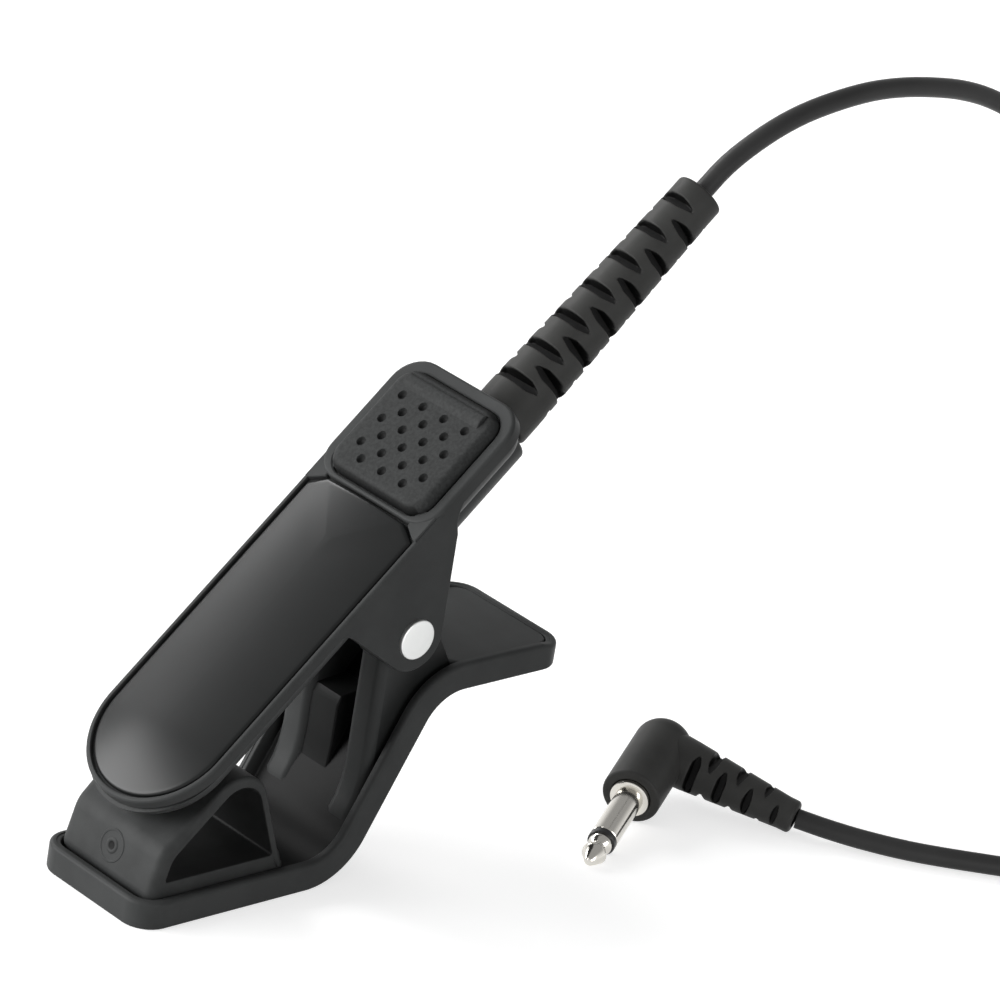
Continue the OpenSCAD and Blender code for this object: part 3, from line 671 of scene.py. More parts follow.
def mark_painted_shade(piece, shade_depths):
    """Stores a depth in metres for each point, from which its material paints shade: mostly how deep it lies
    in a slot, dimple or channel.
    """
    piece.data.attributes.new("painted_shade_depth", "FLOAT", "POINT").data.foreach_set("value", [d * MM for d in shade_depths])


def fuse(piece, other):
    """Adds another closed mesh piece to a piece."""
    for part in (piece, other):
        face_outwards(part)
    with bpy.context.temp_override(active_object=piece, selected_editable_objects=[piece, other]):
        bpy.ops.object.join()


def coat(node, maker):
    """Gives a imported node, whose shape stays, its material."""
    kept = frame["nodes"][node]
    kept.data.materials.clear()
    kept.data.materials.append(finish(maker))


def flowing(points, steps):
    """Smooth line through points, with steps between each two."""
    line = []
    ends = [points[0] * 2 - points[1]] + points + [points[-1] * 2 - points[-2]]
    for a, b, c, d in zip(ends, ends[1:], ends[2:], ends[3:]):
        for i in range(steps):
            t = i / steps
            line.append(0.5 * (2 * b + (c - a) * t + (2 * a - 5 * b + 4 * c - d) * t * t
                               + (3 * b - a - 3 * c + d) * t ** 3))
    return line + [points[-1]]


def spaced(line, gap):
    """The line's points again, evenly spaced by about the gap."""
    far = [0.0]
    for a, b in zip(line, line[1:]):
        far.append(far[-1] + (b - a).length)
    number = max(1, round(far[-1] / gap))
    made, k = [], 0
    for i in range(number + 1):
        want = far[-1] * i / number
        while k < len(far) - 2 and far[k + 1] < want:
            k += 1
        share = (want - far[k]) / max(1e-9, far[k + 1] - far[k])
        made.append(line[k].lerp(line[k + 1], min(1.0, share)))
    return made


# ---- stage ----

LAMP_AIM = Vector((0, 0.02, 0.03))
CAMERA_AIM = Vector((7.089, 36.584, 44.935)) * MM
FLOOR_GLOW = 0.65  # added to what cameras see of the floor, so that only its shadows stay grey


def seen_rays(tree):
    """1 for the rays of the camera and of reflections and refractions, 0 for the rays that light."""
    path = add(tree, "ShaderNodeLightPath").outputs
    either = add(tree, MATH, {0: path["Is Camera Ray"], 1: path["Is Glossy Ray"]}, operation="MAXIMUM")
    return add(tree, MATH, {0: either, 1: path["Is Transmission Ray"]}, operation="MAXIMUM")


def bright_ground(name, colour, lift):
    """Pale surface that cameras, metal and glass see as white, and that keeps its shadows."""
    made, tree, at = new_material(name)
    seen = seen_rays(tree)
    noise = add(tree, "ShaderNodeTexNoise", {"Vector": at, "Scale": 300.0, "Detail": 2})
    bump = add(tree, "ShaderNodeBump", {"Height": noise.outputs["Fac"], "Strength": 0.05, "Distance": 0.0001})
    plain = add(tree, "ShaderNodeBsdfDiffuse", {"Color": colour, "Normal": bump})
    glow = add(tree, "ShaderNodeEmission", {"Color": (1, 1, 1, 1), "Strength": lift})
    both = add(tree, "ShaderNodeAddShader", {0: plain, 1: glow})
    mix = add(tree, "ShaderNodeMixShader", {0: seen, 1: plain, 2: both})
    add(tree, "ShaderNodeOutputMaterial", {"Surface": mix})
    return made


def light_world(ambient):
    """Even grey light from all round, which cameras see as white. Reflections see it white at the
    horizon, fading towards a studio's darker ceiling."""
    world = bpy.data.worlds.new("studio")
    world.use_nodes = True
    tree = world.node_tree
    tree.nodes.clear()
    seen = seen_rays(tree)
    towards = add(tree, "ShaderNodeTexCoord").outputs["Generated"]
    height = add(tree, "ShaderNodeSeparateXYZ", {0: towards}).outputs["Z"]
    fade = add(tree, "ShaderNodeMapRange", {
        "Value": height, "From Min": 0.15, "From Max": 0.6, "To Min": 1.0, "To Max": 0.4})
    camera = add(tree, "ShaderNodeLightPath").outputs["Is Camera Ray"]
    bright = add(tree, MATH, {0: camera, 1: fade}, operation="MAXIMUM")
    dim = add(tree, "ShaderNodeBackground", {"Color": (1, 1, 1, 1), "Strength": ambient})
    white = add(tree, "ShaderNodeBackground", {"Color": (1, 1, 1, 1), "Strength": bright})
    mix = add(tree, "ShaderNodeMixShader", {0: seen, 1: dim, 2: white})
    add(tree, "ShaderNodeOutputWorld", {"Surface": mix})
    bpy.context.scene.world = world


def soft_lamp(name, place, width, height, radiance):
    """Rectangular lamp of a given radiance, turned to the clip; sizes in metres."""
    lamp = bpy.data.lights.new(name, "AREA")
    lamp.shape, lamp.size, lamp.size_y = "RECTANGLE", width, height
    lamp.energy = radiance * math.pi * width * height
    holder = bpy.data.objects.new(name, lamp)
    holder.location = place
    holder.rotation_euler = (LAMP_AIM - Vector(place)).to_track_quat("-Z", "Y").to_euler()
    bpy.context.scene.collection.objects.link(holder)


def build_stage(stage):
    """Floor, light from all round, three lamps and the camera."""
    bpy.context.scene.view_settings.view_transform = "Standard"
    s = in_mm(stage)
    half = s.floor_width / 2
    ground = new_piece("floor", [(-half, -half, 0), (half, -half, 0), (half, half, 0), (-half, half, 0)],
                       [(0, 1, 2, 3)])
    ground.data.materials.append(bright_ground("painted_floor", stage.floor_tint[:], FLOOR_GLOW))
    light_world(stage.ambient)
    soft_lamp("key_lamp", (-0.66, -0.97, 0.42), 1.3, 0.85, stage.key)
    soft_lamp("left_lamp", (-1.05, 0.05, 0.75), 0.45, 0.4, stage.left)
    soft_lamp("right_lamp", (1.2, -0.2, 0.25), 0.8, 0.5, stage.right)

    a, e = stage.azimuth, stage.elevation
    back = Vector((math.sin(a) * math.cos(e), -math.cos(a) * math.cos(e), math.sin(e)))
    right = Matrix.Rotation(stage.roll, 3, back) @ Vector((math.cos(a), math.sin(a), 0))
    camera = bpy.data.cameras.new("camera")
    camera.lens, camera.sensor_width = stage.lens, 36
    holder = bpy.data.objects.new("camera", camera)
    turn = Matrix((right, back.cross(right), back)).transposed().to_4x4()
    holder.matrix_world = Matrix.Translation(CAMERA_AIM + back * stage.distance) @ turn
    bpy.context.scene.collection.objects.link(holder)
    bpy.context.scene.camera = holder


# ---- lead ----

# the lead's route from the boot to its coil, and from the coil to the plug, in the jaw's frame
RUN_ROUTE = [
    (0, 85.2, 79.5), (0, 90.5, 82.3), (0, 96, 84.2), (0, 102, 85.3), (0, 108, 85.8), (0, 113.5, 85.6),
    (0, 119, 84.9), (0, 124.5, 83.8), (0, 130, 82), (0.5, 135.5, 79.3), (1.5, 140.5, 75.6), (2.5, 145, 71),
    (4, 149, 65.3), (5.5, 152.3, 59), (7, 155, 52.3), (8.5, 157.3, 45.5), (10, 159.2, 38.6),
    (12, 160.8, 31.8), (14.5, 162, 25.2), (17.5, 163, 19.2), (21, 163.4, 14.2), (25, 163.5, 10.7),
    (29.3, 163.5, 8.9)]
TAIL_ROUTE = [
    (57.6, 135.4, 1.3), (57.3, 130, 1.3), (56, 124, 1.3), (53, 118, 1.3), (48.5, 112, 1.3), (43, 106, 1.3),
    (37, 100.1, 1.3), (32, 96, 1.5), (28, 93.2, 1.8), (24.92, 91.1, 2.2)]
COIL_AT = (40, 146)
COIL_TURN = 4050
# where the lead changes lane or layer as it is wound, in degrees of turn, and the step in lead
# diameters outwards and up
LANE_STEPS = [
    (300, -1, 0), (660, -1, 0), (990, 0, -1), (1320, 1, 0), (1680, 1, 0), (2010, 0, -1), (2340, -1, 0),
    (2700, -1, 0), (3030, 0, -1), (3360, 1, 0), (3720, 1, 0)]
STEP_TURN = 30


def coil_line(radius, wire):
    """Centre line of the coil, wound clockwise from its outer top lane down to the floor."""
    line = []
    for turn in range(0, COIL_TURN + 1, 10):
        r, z = radius + wire, 3.5 * wire
        for start, outwards, up in LANE_STEPS:
            t = min(1, max(0, (turn - start) / STEP_TURN))
            share = t * t * (3 - 2 * t)
            r += outwards * wire * share
            z += up * wire * share
        bearing = math.radians(90 - turn)
        line.append(on_jaw(COIL_AT[0] + r * math.cos(bearing), COIL_AT[1] + r * math.sin(bearing), z))
    return line


def build_lead(lead):
    """The lead as one tube, from the boot through its coil to the plug's arm."""
    s = in_mm(lead)
    exit_at = on_housing(0, BOOT[1].y + 0.05, BOOT_AXIS_H)
    coil = coil_line(s.coil_radius, s.diameter)
    first = flowing([exit_at] + [on_jaw(*p) for p in RUN_ROUTE] + coil[:2], 8)
    last = flowing(coil[-2:] + [on_jaw(*p) for p in TAIL_ROUTE], 8)
    line = spaced(first + coil[2:-2] + last, s.spacing)
    made = new_piece("lead", line, edges=[(i, i + 1) for i in range(len(line) - 1)])
    through_tree(made, tube_tree(), {"Radius": lead.diameter / 2, "Sides": lead.sides,
                                     "Material": finish(extruded_pvc)})
    face_outwards(made)
    made.data.polygons.foreach_set("use_smooth", [len(f.vertices) == 4 for f in made.data.polygons])
    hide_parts("cord_run", "cord_coil", "cord_tail")
    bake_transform(made)


# ---- boot ----

def slotted_tree():
    """Cuts pairs of flat-bottomed slots across a sleeve that runs along Z, each pair a quarter turn
    from the next; the first and the last pair face alike."""
    tree, given = new_tree("slotted_sleeve", {
        "First": "Float", "Pitch": "Float", "Pairs": "Int", "Width": "Float", "Edge": "Float",
        "Core": "Float", "Taper": "Float"})
    place = add(tree, "ShaderNodeSeparateXYZ", {0: add(tree, "GeometryNodeInputPosition")}).outputs
    half_pitch = add(tree, MATH, {0: given["Pitch"], 1: 0.5}, operation="MULTIPLY")
    pitch_back = add(tree, MATH, {0: half_pitch, 1: -1}, operation="MULTIPLY")
    core_back = add(tree, MATH, {0: given["Core"], 1: -1}, operation="MULTIPLY")
    half_width = add(tree, MATH, {0: given["Width"], 1: 0.5}, operation="MULTIPLY")
    narrow = add(tree, MATH, {0: given["Edge"], 1: -0.3, 2: half_width}, operation="MULTIPLY_ADD")
    wide = add(tree, MATH, {0: narrow, 1: given["Edge"]}, operation="ADD")
    cut, sunk = {}, {}
    for axis, shift in (("Y", 0.0), ("X", 1.0)):
        # how far each point is from its slot's middle, and whether it's in the slotted stretch
        start = add(tree, MATH, {0: half_pitch, 1: shift, 2: given["First"]}, operation="MULTIPLY_ADD")
        pairs = add(tree, MATH, {0: given["Pairs"], 1: shift}, operation="SUBTRACT")
        reach = add(tree, MATH, {0: pairs, 1: half_pitch}, operation="MULTIPLY")
        along = add(tree, MATH, {0: place["Z"], 1: start}, operation="SUBTRACT")
        wrapped = add(tree, MATH, {0: along, 1: half_pitch, 2: pitch_back}, operation="WRAP")
        off = add(tree, MATH, {0: wrapped}, operation="ABSOLUTE")
        centre = add(tree, MATH, {0: reach, 1: half_pitch}, operation="SUBTRACT")
        from_centre = add(tree, MATH, {0: along, 1: centre}, operation="SUBTRACT")
        middle = add(tree, MATH, {0: from_centre}, operation="ABSOLUTE")
        within = add(tree, MATH, {0: middle, 1: reach}, operation="LESS_THAN")
        # how much of the cut it gets: full in the slot, none past its edge, with pointed ends
        out = add(tree, MATH, {0: place[axis]}, operation="ABSOLUTE")
        over = add(tree, MATH, {0: out, 1: given["Core"]}, operation="SUBTRACT")
        taper = add(tree, "ShaderNodeMapRange", {
            "Value": over, "From Min": 0.0, "From Max": given["Taper"], "To Min": 0.15, "To Max": 1.0})
        share = add(tree, "ShaderNodeMapRange", {
            "Value": add(tree, MATH, {0: off, 1: taper}, operation="DIVIDE"), "From Min": narrow,
            "From Max": wide, "To Min": 1.0, "To Max": 0.0}, interpolation_type="SMOOTHSTEP")
        cutting = add(tree, MATH, {0: share, 1: within}, operation="MULTIPLY")
        # the way down to the slot's flat bottom
        under = add(tree, MATH, {0: place[axis], 1: given["Core"]}, operation="MINIMUM")
        floor = add(tree, MATH, {0: under, 1: core_back}, operation="MAXIMUM")
        down = add(tree, MATH, {0: floor, 1: place[axis]}, operation="SUBTRACT")
        deep = add(tree, MATH, {0: down, 1: cutting}, operation="MULTIPLY")
        cut[axis] = add(tree, MATH, {0: place[axis], 1: deep}, operation="ADD")
        sunk[axis] = add(tree, MATH, {0: deep}, operation="ABSOLUTE")
    # painted shade: each point's depth in its slot is stored for the material, which darkens the slot by it
    deepest = add(tree, MATH, {0: sunk["X"], 1: sunk["Y"]}, operation="MAXIMUM")
    shade_depths = add(tree, "GeometryNodeStoreNamedAttribute", {
        "Geometry": given["Geometry"], "Name": "painted_shade_depth", "Value": deepest}, data_type="FLOAT", domain="POINT")
    moved = add(tree, "ShaderNodeCombineXYZ", {"X": cut["X"], "Y": cut["Y"], "Z": place["Z"]})
    shaped = add(tree, "GeometryNodeSetPosition", {"Geometry": shade_depths, "Position": moved})
    return close_tree(tree, given, shaped)


def sleeve_rows(profile, first, pitch, pairs, reach):
    """The profile's points with rows added at every slot's edges, so that they are cut crisply."""
    rows = list(profile)
    tapers = [(a, b) for a, b in zip(profile, profile[1:]) if b[0] > a[0]]
    for i in range(2 * pairs - 1):
        centre = first + i * pitch / 2
        for k in range(-12, 13):
            s = centre + reach * k / 12
            for (s0, r0), (s1, r1) in tapers:
                if s0 < s < s1 and s > first - reach:
                    rows.append((s, r0 + (r1 - r0) * (s - s0) / (s1 - s0)))
    inner = [p for p in rows if p[0] < first - reach]
    return inner + sorted(set(p for p in rows if p[0] >= first - reach))


class PickupBoot(bpy.types.PropertyGroup):
    """Ribbed boot where the lead leaves the housing."""
    diameter: size("Diameter", 7.8, "Diameter where it leaves the housing")
    end_diameter: size("End diameter", 6.2, "Diameter of the collar at its end")
    first: size("First slot", 4.9, "From the housing to the middle of the first slot")
    pitch: size("Pitch", 4.88, "Spacing of the slots that face one way")
    pairs: count("Pairs", 7, "Pairs of slots that face the first way")
    slot: size("Slot", 1.2, "Width of a slot")
    edge: size("Edge", 0.26, "Width of a slot's rounded edges")
    core: size("Core", 1.7, "From the axis to the bottom of a slot")


def build_boot(boot):
    """The ribbed boot: a turned sleeve, plugged into the housing, with its slots cut across it."""
    s = in_mm(boot)
    long = BOOT[1].y - BOOT_FACE
    radius, tail = s.diameter / 2, s.end_diameter / 2
    profile = [(-3.45, 0.0), (-3.45, 3.7), (-1.95, 3.7), (-1.95, 2.85), (-0.1, 2.85), (-0.05, radius - 0.6)]
    profile += arc(0.5, radius - 0.5, 0.5, 180, 90, 5)
    profile += [(3, radius), (long - 2.2, tail), (long - 0.4, tail)]
    profile += arc(long - 0.4, tail - 0.4, 0.4, 75, 0, 5)
    bore = [(long, 1.3), (long - 0.6, 1.27), (long - 0.6, 0.0)]
    shell = Shell(along_z)
    shell.turned(sleeve_rows(profile, s.first, s.pitch, s.pairs, 1.0) + bore, 96)
    made = shell.piece("ribbed_boot")
    through_tree(made, slotted_tree(), {
        "First": boot.first, "Pitch": boot.pitch, "Pairs": boot.pairs, "Width": boot.slot,
        "Edge": boot.edge, "Core": boot.core, "Taper": 1.3 * MM, "Material": finish(overmoulded_pvc)})
    made.data.transform(placed(PIN, FROM_HOUSING, (0, BOOT_FACE, BOOT_AXIS_H), -90))
    settle(made, UPPER, ["strain_relief"], overmoulded_pvc, 50)


# ---- top cover ----

class PickupCover(bpy.types.PropertyGroup):
    """Crowned cover over the sensor."""
    crown: size("Crown", 42, "Radius of its crown across the clip")
    edge: size("Edge", 0.45, "Radius of its edge")
    cut_across: size("Corner across", 2.46, "Rear corner's chamfer across the clip")
    cut_along: size("Corner along", 1.43, "Rear corner's chamfer along the clip")


def crown_height(radius, half):
    """Height of the cover's crown at a distance from the middle."""
    return COVER_TOP - radius + math.sqrt(radius ** 2 - half ** 2)


def build_cover(cover):
    """The crowned cover, with the lip that locates it in the tray."""
    s = in_mm(cover)

    def outline(d):
        return cover_ring(COVER_HALF - d, COVER_REAR - d, s.cut_across, s.cut_along)

    flat = COVER_HALF - s.edge
    # each ring's inset from the outline, and its drop below the crown
    rings = rounding(s.edge, 7) + [(s.edge + flat * (i / 14) ** 1.3 - 0.02, 0) for i in range(1, 15)]
    crowned = [[(x, a, crown_height(s.crown, math.hypot(x, min(0, a - NOSE_A))) - drop)
                for x, a in outline(d)] for d, drop in rings]
    foot = [level(outline(0.25), RIM_TOP - 0.2), level(outline(0), RIM_TOP - 0.15)]
    shell = Shell(on_housing)
    shell.stack(foot + crowned)
    lip = CAVITY_HALF - 0.12
    outer = housing_ring(lip, COVER_REAR - 1.3, 2)
    inner = housing_ring(lip - 0.9, COVER_REAR - 2.2, 1.5)
    high, low = RIM_TOP - 0.1, RIM_TOP - 1
    shell.stack([level(inner, high), level(inner, low), level(outer, low), level(outer, high)])
    settle(shell.piece("crowned_cover"), UPPER, ["top_cover"], satin_abs, 45)


# ---- tray, ears and bezel ----

class PickupTray(bpy.types.PropertyGroup):
    """Tray that carries the cover, with its bezel and hinge ears."""
    seam: size("Seam", 0.3, "Groove round the cover")
    rim_edge: size("Rim edge", 0.35, "Radius of the rim's edge")
    belly: size("Belly", 4.6, "Radius of the hull's belly")
    ear: size("Ear", EAR_THICK, "Thickness of an ear")
    ear_edge: size("Ear edge", 0.3, "Radius of an ear's edges")
    bezel_edge: size("Bezel edge", 0.5, "Radius of the bezel's edge")
    bezel_top: size("Bezel top", 11.6, "Height above the pin's axis, square to the housing")


def ear_outline():
    """Outline of an ear, along and square to the housing."""
    low = RIM_LOW
    outline = arc(-8.3, low - 2.2, 2.2, 90, 8, 8) + arc(0, 0, EAR_R, 188, 319, 26)
    outline += [(11.6, low - 3.2)] + arc(16.3, low - 5.2, 5.2, 139, 90, 8)
    return outline + [(16.3, low + 0.5), (-8.3, low + 0.5)]


def build_tray(tray):
    """The tray: hull and rim with the cavity, bezel round the thumb pad, ears and the boot's seat."""
    s = in_mm(tray)
    shell = Shell(on_housing)
    # (half width, height) of the hull's rings, then (half width, height, inset at the rear) of the rim's
    hull = arc(HULL_HALF - 3.7, HULL_BASE + s.belly, s.belly, -75, -14, 12) + [(HULL_HALF - 0.02, RIM_LOW)]
    rings = [(TRAY_HALF - 0.18, RIM_LOW, 0.2), (TRAY_HALF - 0.03, RIM_LOW + 0.15, 0.05)]
    top, e = RIM_TOP + 0.3, s.rim_edge
    rings += [(TRAY_HALF - 0.03 - d, top - drop, 0.05 + d) for d, drop in rounding(e, 5)]
    inside = COVER_HALF + s.seam
    rings += [(inside + 0.06, top, 0.5), (inside, top - 0.06, 0.5), (inside, RIM_TOP - 0.3, 0.5)]
    stack = [level(housing_ring(half, REAR - 0.62, 3.4, HULL_AHEAD), h) for half, h in hull]
    stack += [level(housing_ring(half, REAR - back, 4 - back), h) for half, h, back in rings]
    cavity = housing_ring(CAVITY_HALF, COVER_REAR - 1, 1)
    shell.stack(stack + [level(cavity, RIM_TOP - 0.3), level(cavity, HULL_BASE + HULL_WALL)])

    # bezel: a block with the thumb pad's pocket in it, and its two lands beside the cover's corners
    top = s.bezel_top
    outside = [(0, RIM_LOW + 0.18)] + [(d, top - drop) for d, drop in rounding(s.bezel_edge, 6)]
    block = [level(block_ring(TRAY_HALF - d, BEZEL_FRONT + d * 0.6, REAR - d, 3.6 - d * 0.6, 4 - d), h)
             for d, h in outside]
    block += [level(block_ring(PAD_HALF + grow, PAD[0].y - grow, PAD[1].y + grow, 2.6 + grow), h)
              for grow, h in ((0.42, top), (0.25, top - 0.12), (0.2, top - 0.35), (0.18, RIM_TOP + 0.1))]
    shell.stack(block)
    for side in (-1, 1):
        land = [(COVER_HALF - 2.1, BEZEL_FRONT + 2.2), (COVER_HALF - 1.9, COVER_REAR + 0.05),
                (COVER_HALF + 0.08, COVER_REAR - 1.1), (TRAY_HALF - 0.3, COVER_REAR - 1.1),
                (TRAY_HALF - 0.3, BEZEL_FRONT + 2.6)]
        shell.stack([[(side * x, a, h) for x, a in offset(land, [d] * 5)]
                     for d, h in ((0, RIM_TOP - 0.3), (0, top - 0.27), (0.12, top - 0.15))])
        across = sorted((side * EAR_OUT, side * (EAR_OUT - s.ear)))
        shell.plate(ear_outline(), across[0], across[1], s.ear_edge)

    # round seat of the boot, with its bore
    seat = Shell(lambda along, u, v: on_housing(u, along, BOOT_AXIS_H + v))
    end = REAR - 0.6
    bore = [(end, 2.95), (end - 1.2, 2.95), (end - 1.2, 3.85), (end - 11.4, 3.85), (end - 11.4, 0)]
    seat.turned([(13, 0), (13, SEAT_R)] + arc(end - 0.5, SEAT_R - 0.5, 0.5, 90, 0, 5) + bore, 56)
    made = shell.piece("tray")
    fuse(made, seat.piece("boot_seat"))
    settle(made, UPPER, ["upper_housing"], moulded_abs, 32)


# ---- thumb pad ----

def dimple_tree():
    """Staggered rows of round cutters, wide and narrow rows by turns, facing up."""
    tree, given = new_tree("dimple_rows", {
        "Pitch": "Float", "Width": "Float", "Depth": "Float", "Across": "Int", "Rows": "Int"})
    radius = add(tree, MATH, {0: given["Width"], 1: 0.5}, operation="MULTIPLY")
    cutter = add(tree, "GeometryNodeMeshUVSphere", {"Segments": 20, "Rings": 12, "Radius": radius})
    stretch = add(tree, MATH, {0: given["Depth"], 1: radius}, operation="DIVIDE")
    tall = add(tree, "ShaderNodeCombineXYZ", {0: 1.0, 1: 1.0, 2: stretch})
    row_gaps = add(tree, MATH, {0: given["Rows"], 1: 1}, operation="SUBTRACT")
    long = add(tree, MATH, {0: row_gaps, 1: given["Pitch"]}, operation="MULTIPLY")
    both = add(tree, "GeometryNodeJoinGeometry")
    for fewer, shift in ((0, 0.25), (1, -0.25)):
        across = add(tree, MATH, {0: given["Across"], 1: fewer}, operation="SUBTRACT")
        gaps = add(tree, MATH, {0: across, 1: 1}, operation="SUBTRACT")
        wide = add(tree, MATH, {0: gaps, 1: given["Pitch"]}, operation="MULTIPLY")
        grid = add(tree, "GeometryNodeMeshGrid", {
            "Size X": wide, "Size Y": long, "Vertices X": across, "Vertices Y": given["Rows"]})
        forward = add(tree, MATH, {0: given["Pitch"], 1: shift}, operation="MULTIPLY")
        move = add(tree, "ShaderNodeCombineXYZ", {1: forward})
        part = add(tree, "GeometryNodeTransform", {"Geometry": grid, "Translation": move})
        tree.links.new(part.outputs[0], both.inputs[0])
    field = add(tree, "GeometryNodeInstanceOnPoints", {"Points": both, "Instance": cutter, "Scale": tall})
    return close_tree(tree, given, field)


class PickupThumbPad(bpy.types.PropertyGroup):
    """Dimpled elastomer pad that the thumb presses."""
    edge: size("Edge", 1.0, "Radius of its pillowed edge")
    rise: size("Rise", 0.6, "Height above the bezel")
    pitch: size("Dimple pitch", 3.7, "Spacing of the dimples across the clip")
    width: size("Dimple width", 1.15, "Width of a dimple at the surface")
    depth: size("Dimple depth", 0.5, "Depth of a dimple")
    across: count("Across", 4, "Dimples in a wide row")
    rows: count("Wide rows", 3, "Number of wide rows")
    ridge: size("Ridge", 0.45, "Height of the ridge over the pad")


def build_thumb_pad(pad):
    """The pillowed pad with its dimples cut in, and the ridge across its rear end."""
    s = in_mm(pad)
    front, rear = PAD[0].y, PAD[1].y
    top = BEZEL_TOP + s.rise
    shell = Shell(on_housing)
    rings = [(0, RIM_TOP + 0.1), (0, BEZEL_TOP - 0.45)]
    rings += [(d, top - drop * (s.rise + 0.45) / s.edge) for d, drop in rounding(s.edge, 7)]
    rings += [(s.edge + 1.2, top + 0.04), (s.edge + 3.5, top + 0.07), (s.edge + 6, top + 0.08)]
    shell.stack([level(block_ring(PAD_HALF - d, front + d, rear - d, max(0.3, 2.5 - d * 0.6)), h)
                 for d, h in rings])
    made = shell.piece("dimpled_pad")
    face_outwards(made)
    cutters = new_piece("dimple_cutters", [(0, 0, 0)])
    through_tree(cutters, dimple_tree(), {
        "Pitch": pad.pitch, "Width": pad.width * 1.08, "Depth": pad.depth, "Across": pad.across,
        "Rows": pad.rows, "Material": finish(grained_elastomer)})
    last_row = rear - 3.9
    middle = last_row - 2.5 * s.pitch / 2
    cutters.data.transform(placed(PIN, FROM_HOUSING, (0, middle, top + 0.1), 0))
    cut = made.modifiers.new("dimples", "BOOLEAN")
    cut.object, cut.operation, cut.solver = cutters, "DIFFERENCE", "EXACT"
    bake(made)
    bpy.data.objects.remove(cutters)
    # painted shade: points in the dimples, inside the pad's flat, get their depth below its top
    shade_depths = []
    for vertex in made.data.vertices:
        x, a, h = TO_HOUSING @ (vertex.co / MM - PIN)
        inside = max(abs(x), abs(a - (front + rear) / 2) - 1.5) < PAD_HALF - s.edge - 0.1
        shade_depths.append(max(0, top - 0.03 - h) if inside else 0)
    mark_painted_shade(made, shade_depths)
    ridge = Shell(on_housing)
    high, start, end = top + s.ridge, rear - 3, rear - 0.95
    side = [(start, top - 1), (end, top - 1), (end, top)] + arc(end - 0.6, high - 0.6, 0.6, 0, 90, 6)
    side += [(start + 0.95, high), (start + 0.65, high - 0.08), (start, top)]
    ridge.plate(side, -PAD_HALF + 1.7, PAD_HALF - 1.7, 0.16)
    fuse(made, ridge.piece("pad_ridge"))
    settle(made, UPPER, ["thumb_pad"], grained_elastomer, 40)


# ---- lower jaw ----

class PickupJaw(bpy.types.PropertyGroup):
    """S-bent channel of the lower jaw, with its hinge lugs and handle."""
    plate: size("Front plate", 25, "Length of the flat front plate")
    slope: angle("Slope", 62.7, "Slope of its middle")
    low_bend: size("Lower bend", 9.3, "Radius of the underside at the lower bend")
    high_bend: size("Upper bend", 6, "Radius of the underside at the upper bend")
    handle: size("Handle height", 22.1, "Height of the handle's underside above the floor")
    edge: size("Edge", 3.5, "Height of the edge, square to the underside")
    web: size("Web", 1.7, "Thickness of the web")
    rim: size("Rim", RIM_WIDTH, "Width of the rim")
    corner: size("Corner", 3.5, "Radius of the corners, seen from above")
    rim_edge: size("Rim edge", 0.5, "Radius of the rim's outer edge")
    plate_drop: size("Handle plate drop", 0.45, "From the rim's top down to the handle's plate")
    plate_from: size("Handle plate start", 44.5, "From the front edge to the handle's plate")
    lug: size("Lug", 4.2, "Thickness of a hinge lug")
    lug_front: size("Lug front", 33.6, "From the front edge to the front of the lugs")
    lug_radius: size("Lug radius", 4.4, "Radius of the lugs round the pin")
    wall_end: size("Wall end", 0.9, "Right-hand end of the wall between the lugs, across the clip")


def band_stretches(s):
    """Where the jaw's stretches end, counted along its underside from the front edge."""
    drop = (s.low_bend + s.high_bend) * (1 - math.cos(s.slope))
    slope = (s.handle - drop) / math.sin(s.slope)
    ends = [s.plate, s.plate + s.low_bend * s.slope]
    ends += [ends[-1] + slope, ends[-1] + slope + s.high_bend * s.slope]
    down = Vector((math.sin(s.slope), -math.cos(s.slope)))
    low_end = Vector((s.plate, s.low_bend)) + s.low_bend * down
    centre = low_end + slope * Vector((math.cos(s.slope), math.sin(s.slope))) + s.high_bend * down
    return ends, low_end, centre, ends[-1] + LOWER_JAW[1].y - JAW_FRONT - centre.x


def on_band(s, d, h):
    """Side-plane point at a distance along the jaw's underside and a height square to it."""
    ends, low_end, centre, _ = band_stretches(s)
    if d <= ends[0]:
        return d, h
    if d <= ends[1]:
        t = (d - ends[0]) / s.low_bend
        return s.plate + (s.low_bend - h) * math.sin(t), s.low_bend - (s.low_bend - h) * math.cos(t)
    if d <= ends[2]:
        u, c, n = d - ends[1], math.cos(s.slope), math.sin(s.slope)
        return low_end.x + u * c - h * n, low_end.y + u * n + h * c
    if d <= ends[3]:
        t = s.slope - (d - ends[2]) / s.high_bend
        return centre.x - (s.high_bend + h) * math.sin(t), centre.y + (s.high_bend + h) * math.cos(t)
    return centre.x + d - ends[3], s.handle + h


def lug_outline(s):
    """Anticlockwise outline of a hinge lug, from the web round the pin and back to the handle."""
    rear = Vector((45.5, s.handle + s.web - 0.2))
    away = PIN_AT - rear
    reach = away.length
    bearing = math.atan2(away.y, away.x) - math.asin(s.lug_radius / reach)
    touch = rear + Vector((math.cos(bearing), math.sin(bearing))) * math.sqrt(reach ** 2 - s.lug_radius ** 2)
    end = math.degrees(math.atan2(touch.y - PIN_AT.y, touch.x - PIN_AT.x))
    start = 180 + math.degrees(math.acos((PIN_AT.x - s.lug_front) / s.lug_radius))
    over = arc(PIN_AT.x, PIN_AT.y, s.lug_radius, end, start, 22)
    # the front flares as it comes down to the web
    flare = [(0, 12.8), (0.12, 11.3), (0.4, 9.8), (0.85, 8.4), (1.5, 7.1), (1.6, 6)]
    front = [(s.lug_front - ahead, z) for ahead, z in flare]
    return [(35.2, 9.5), (40.5, 19.5), tuple(rear)] + over + front


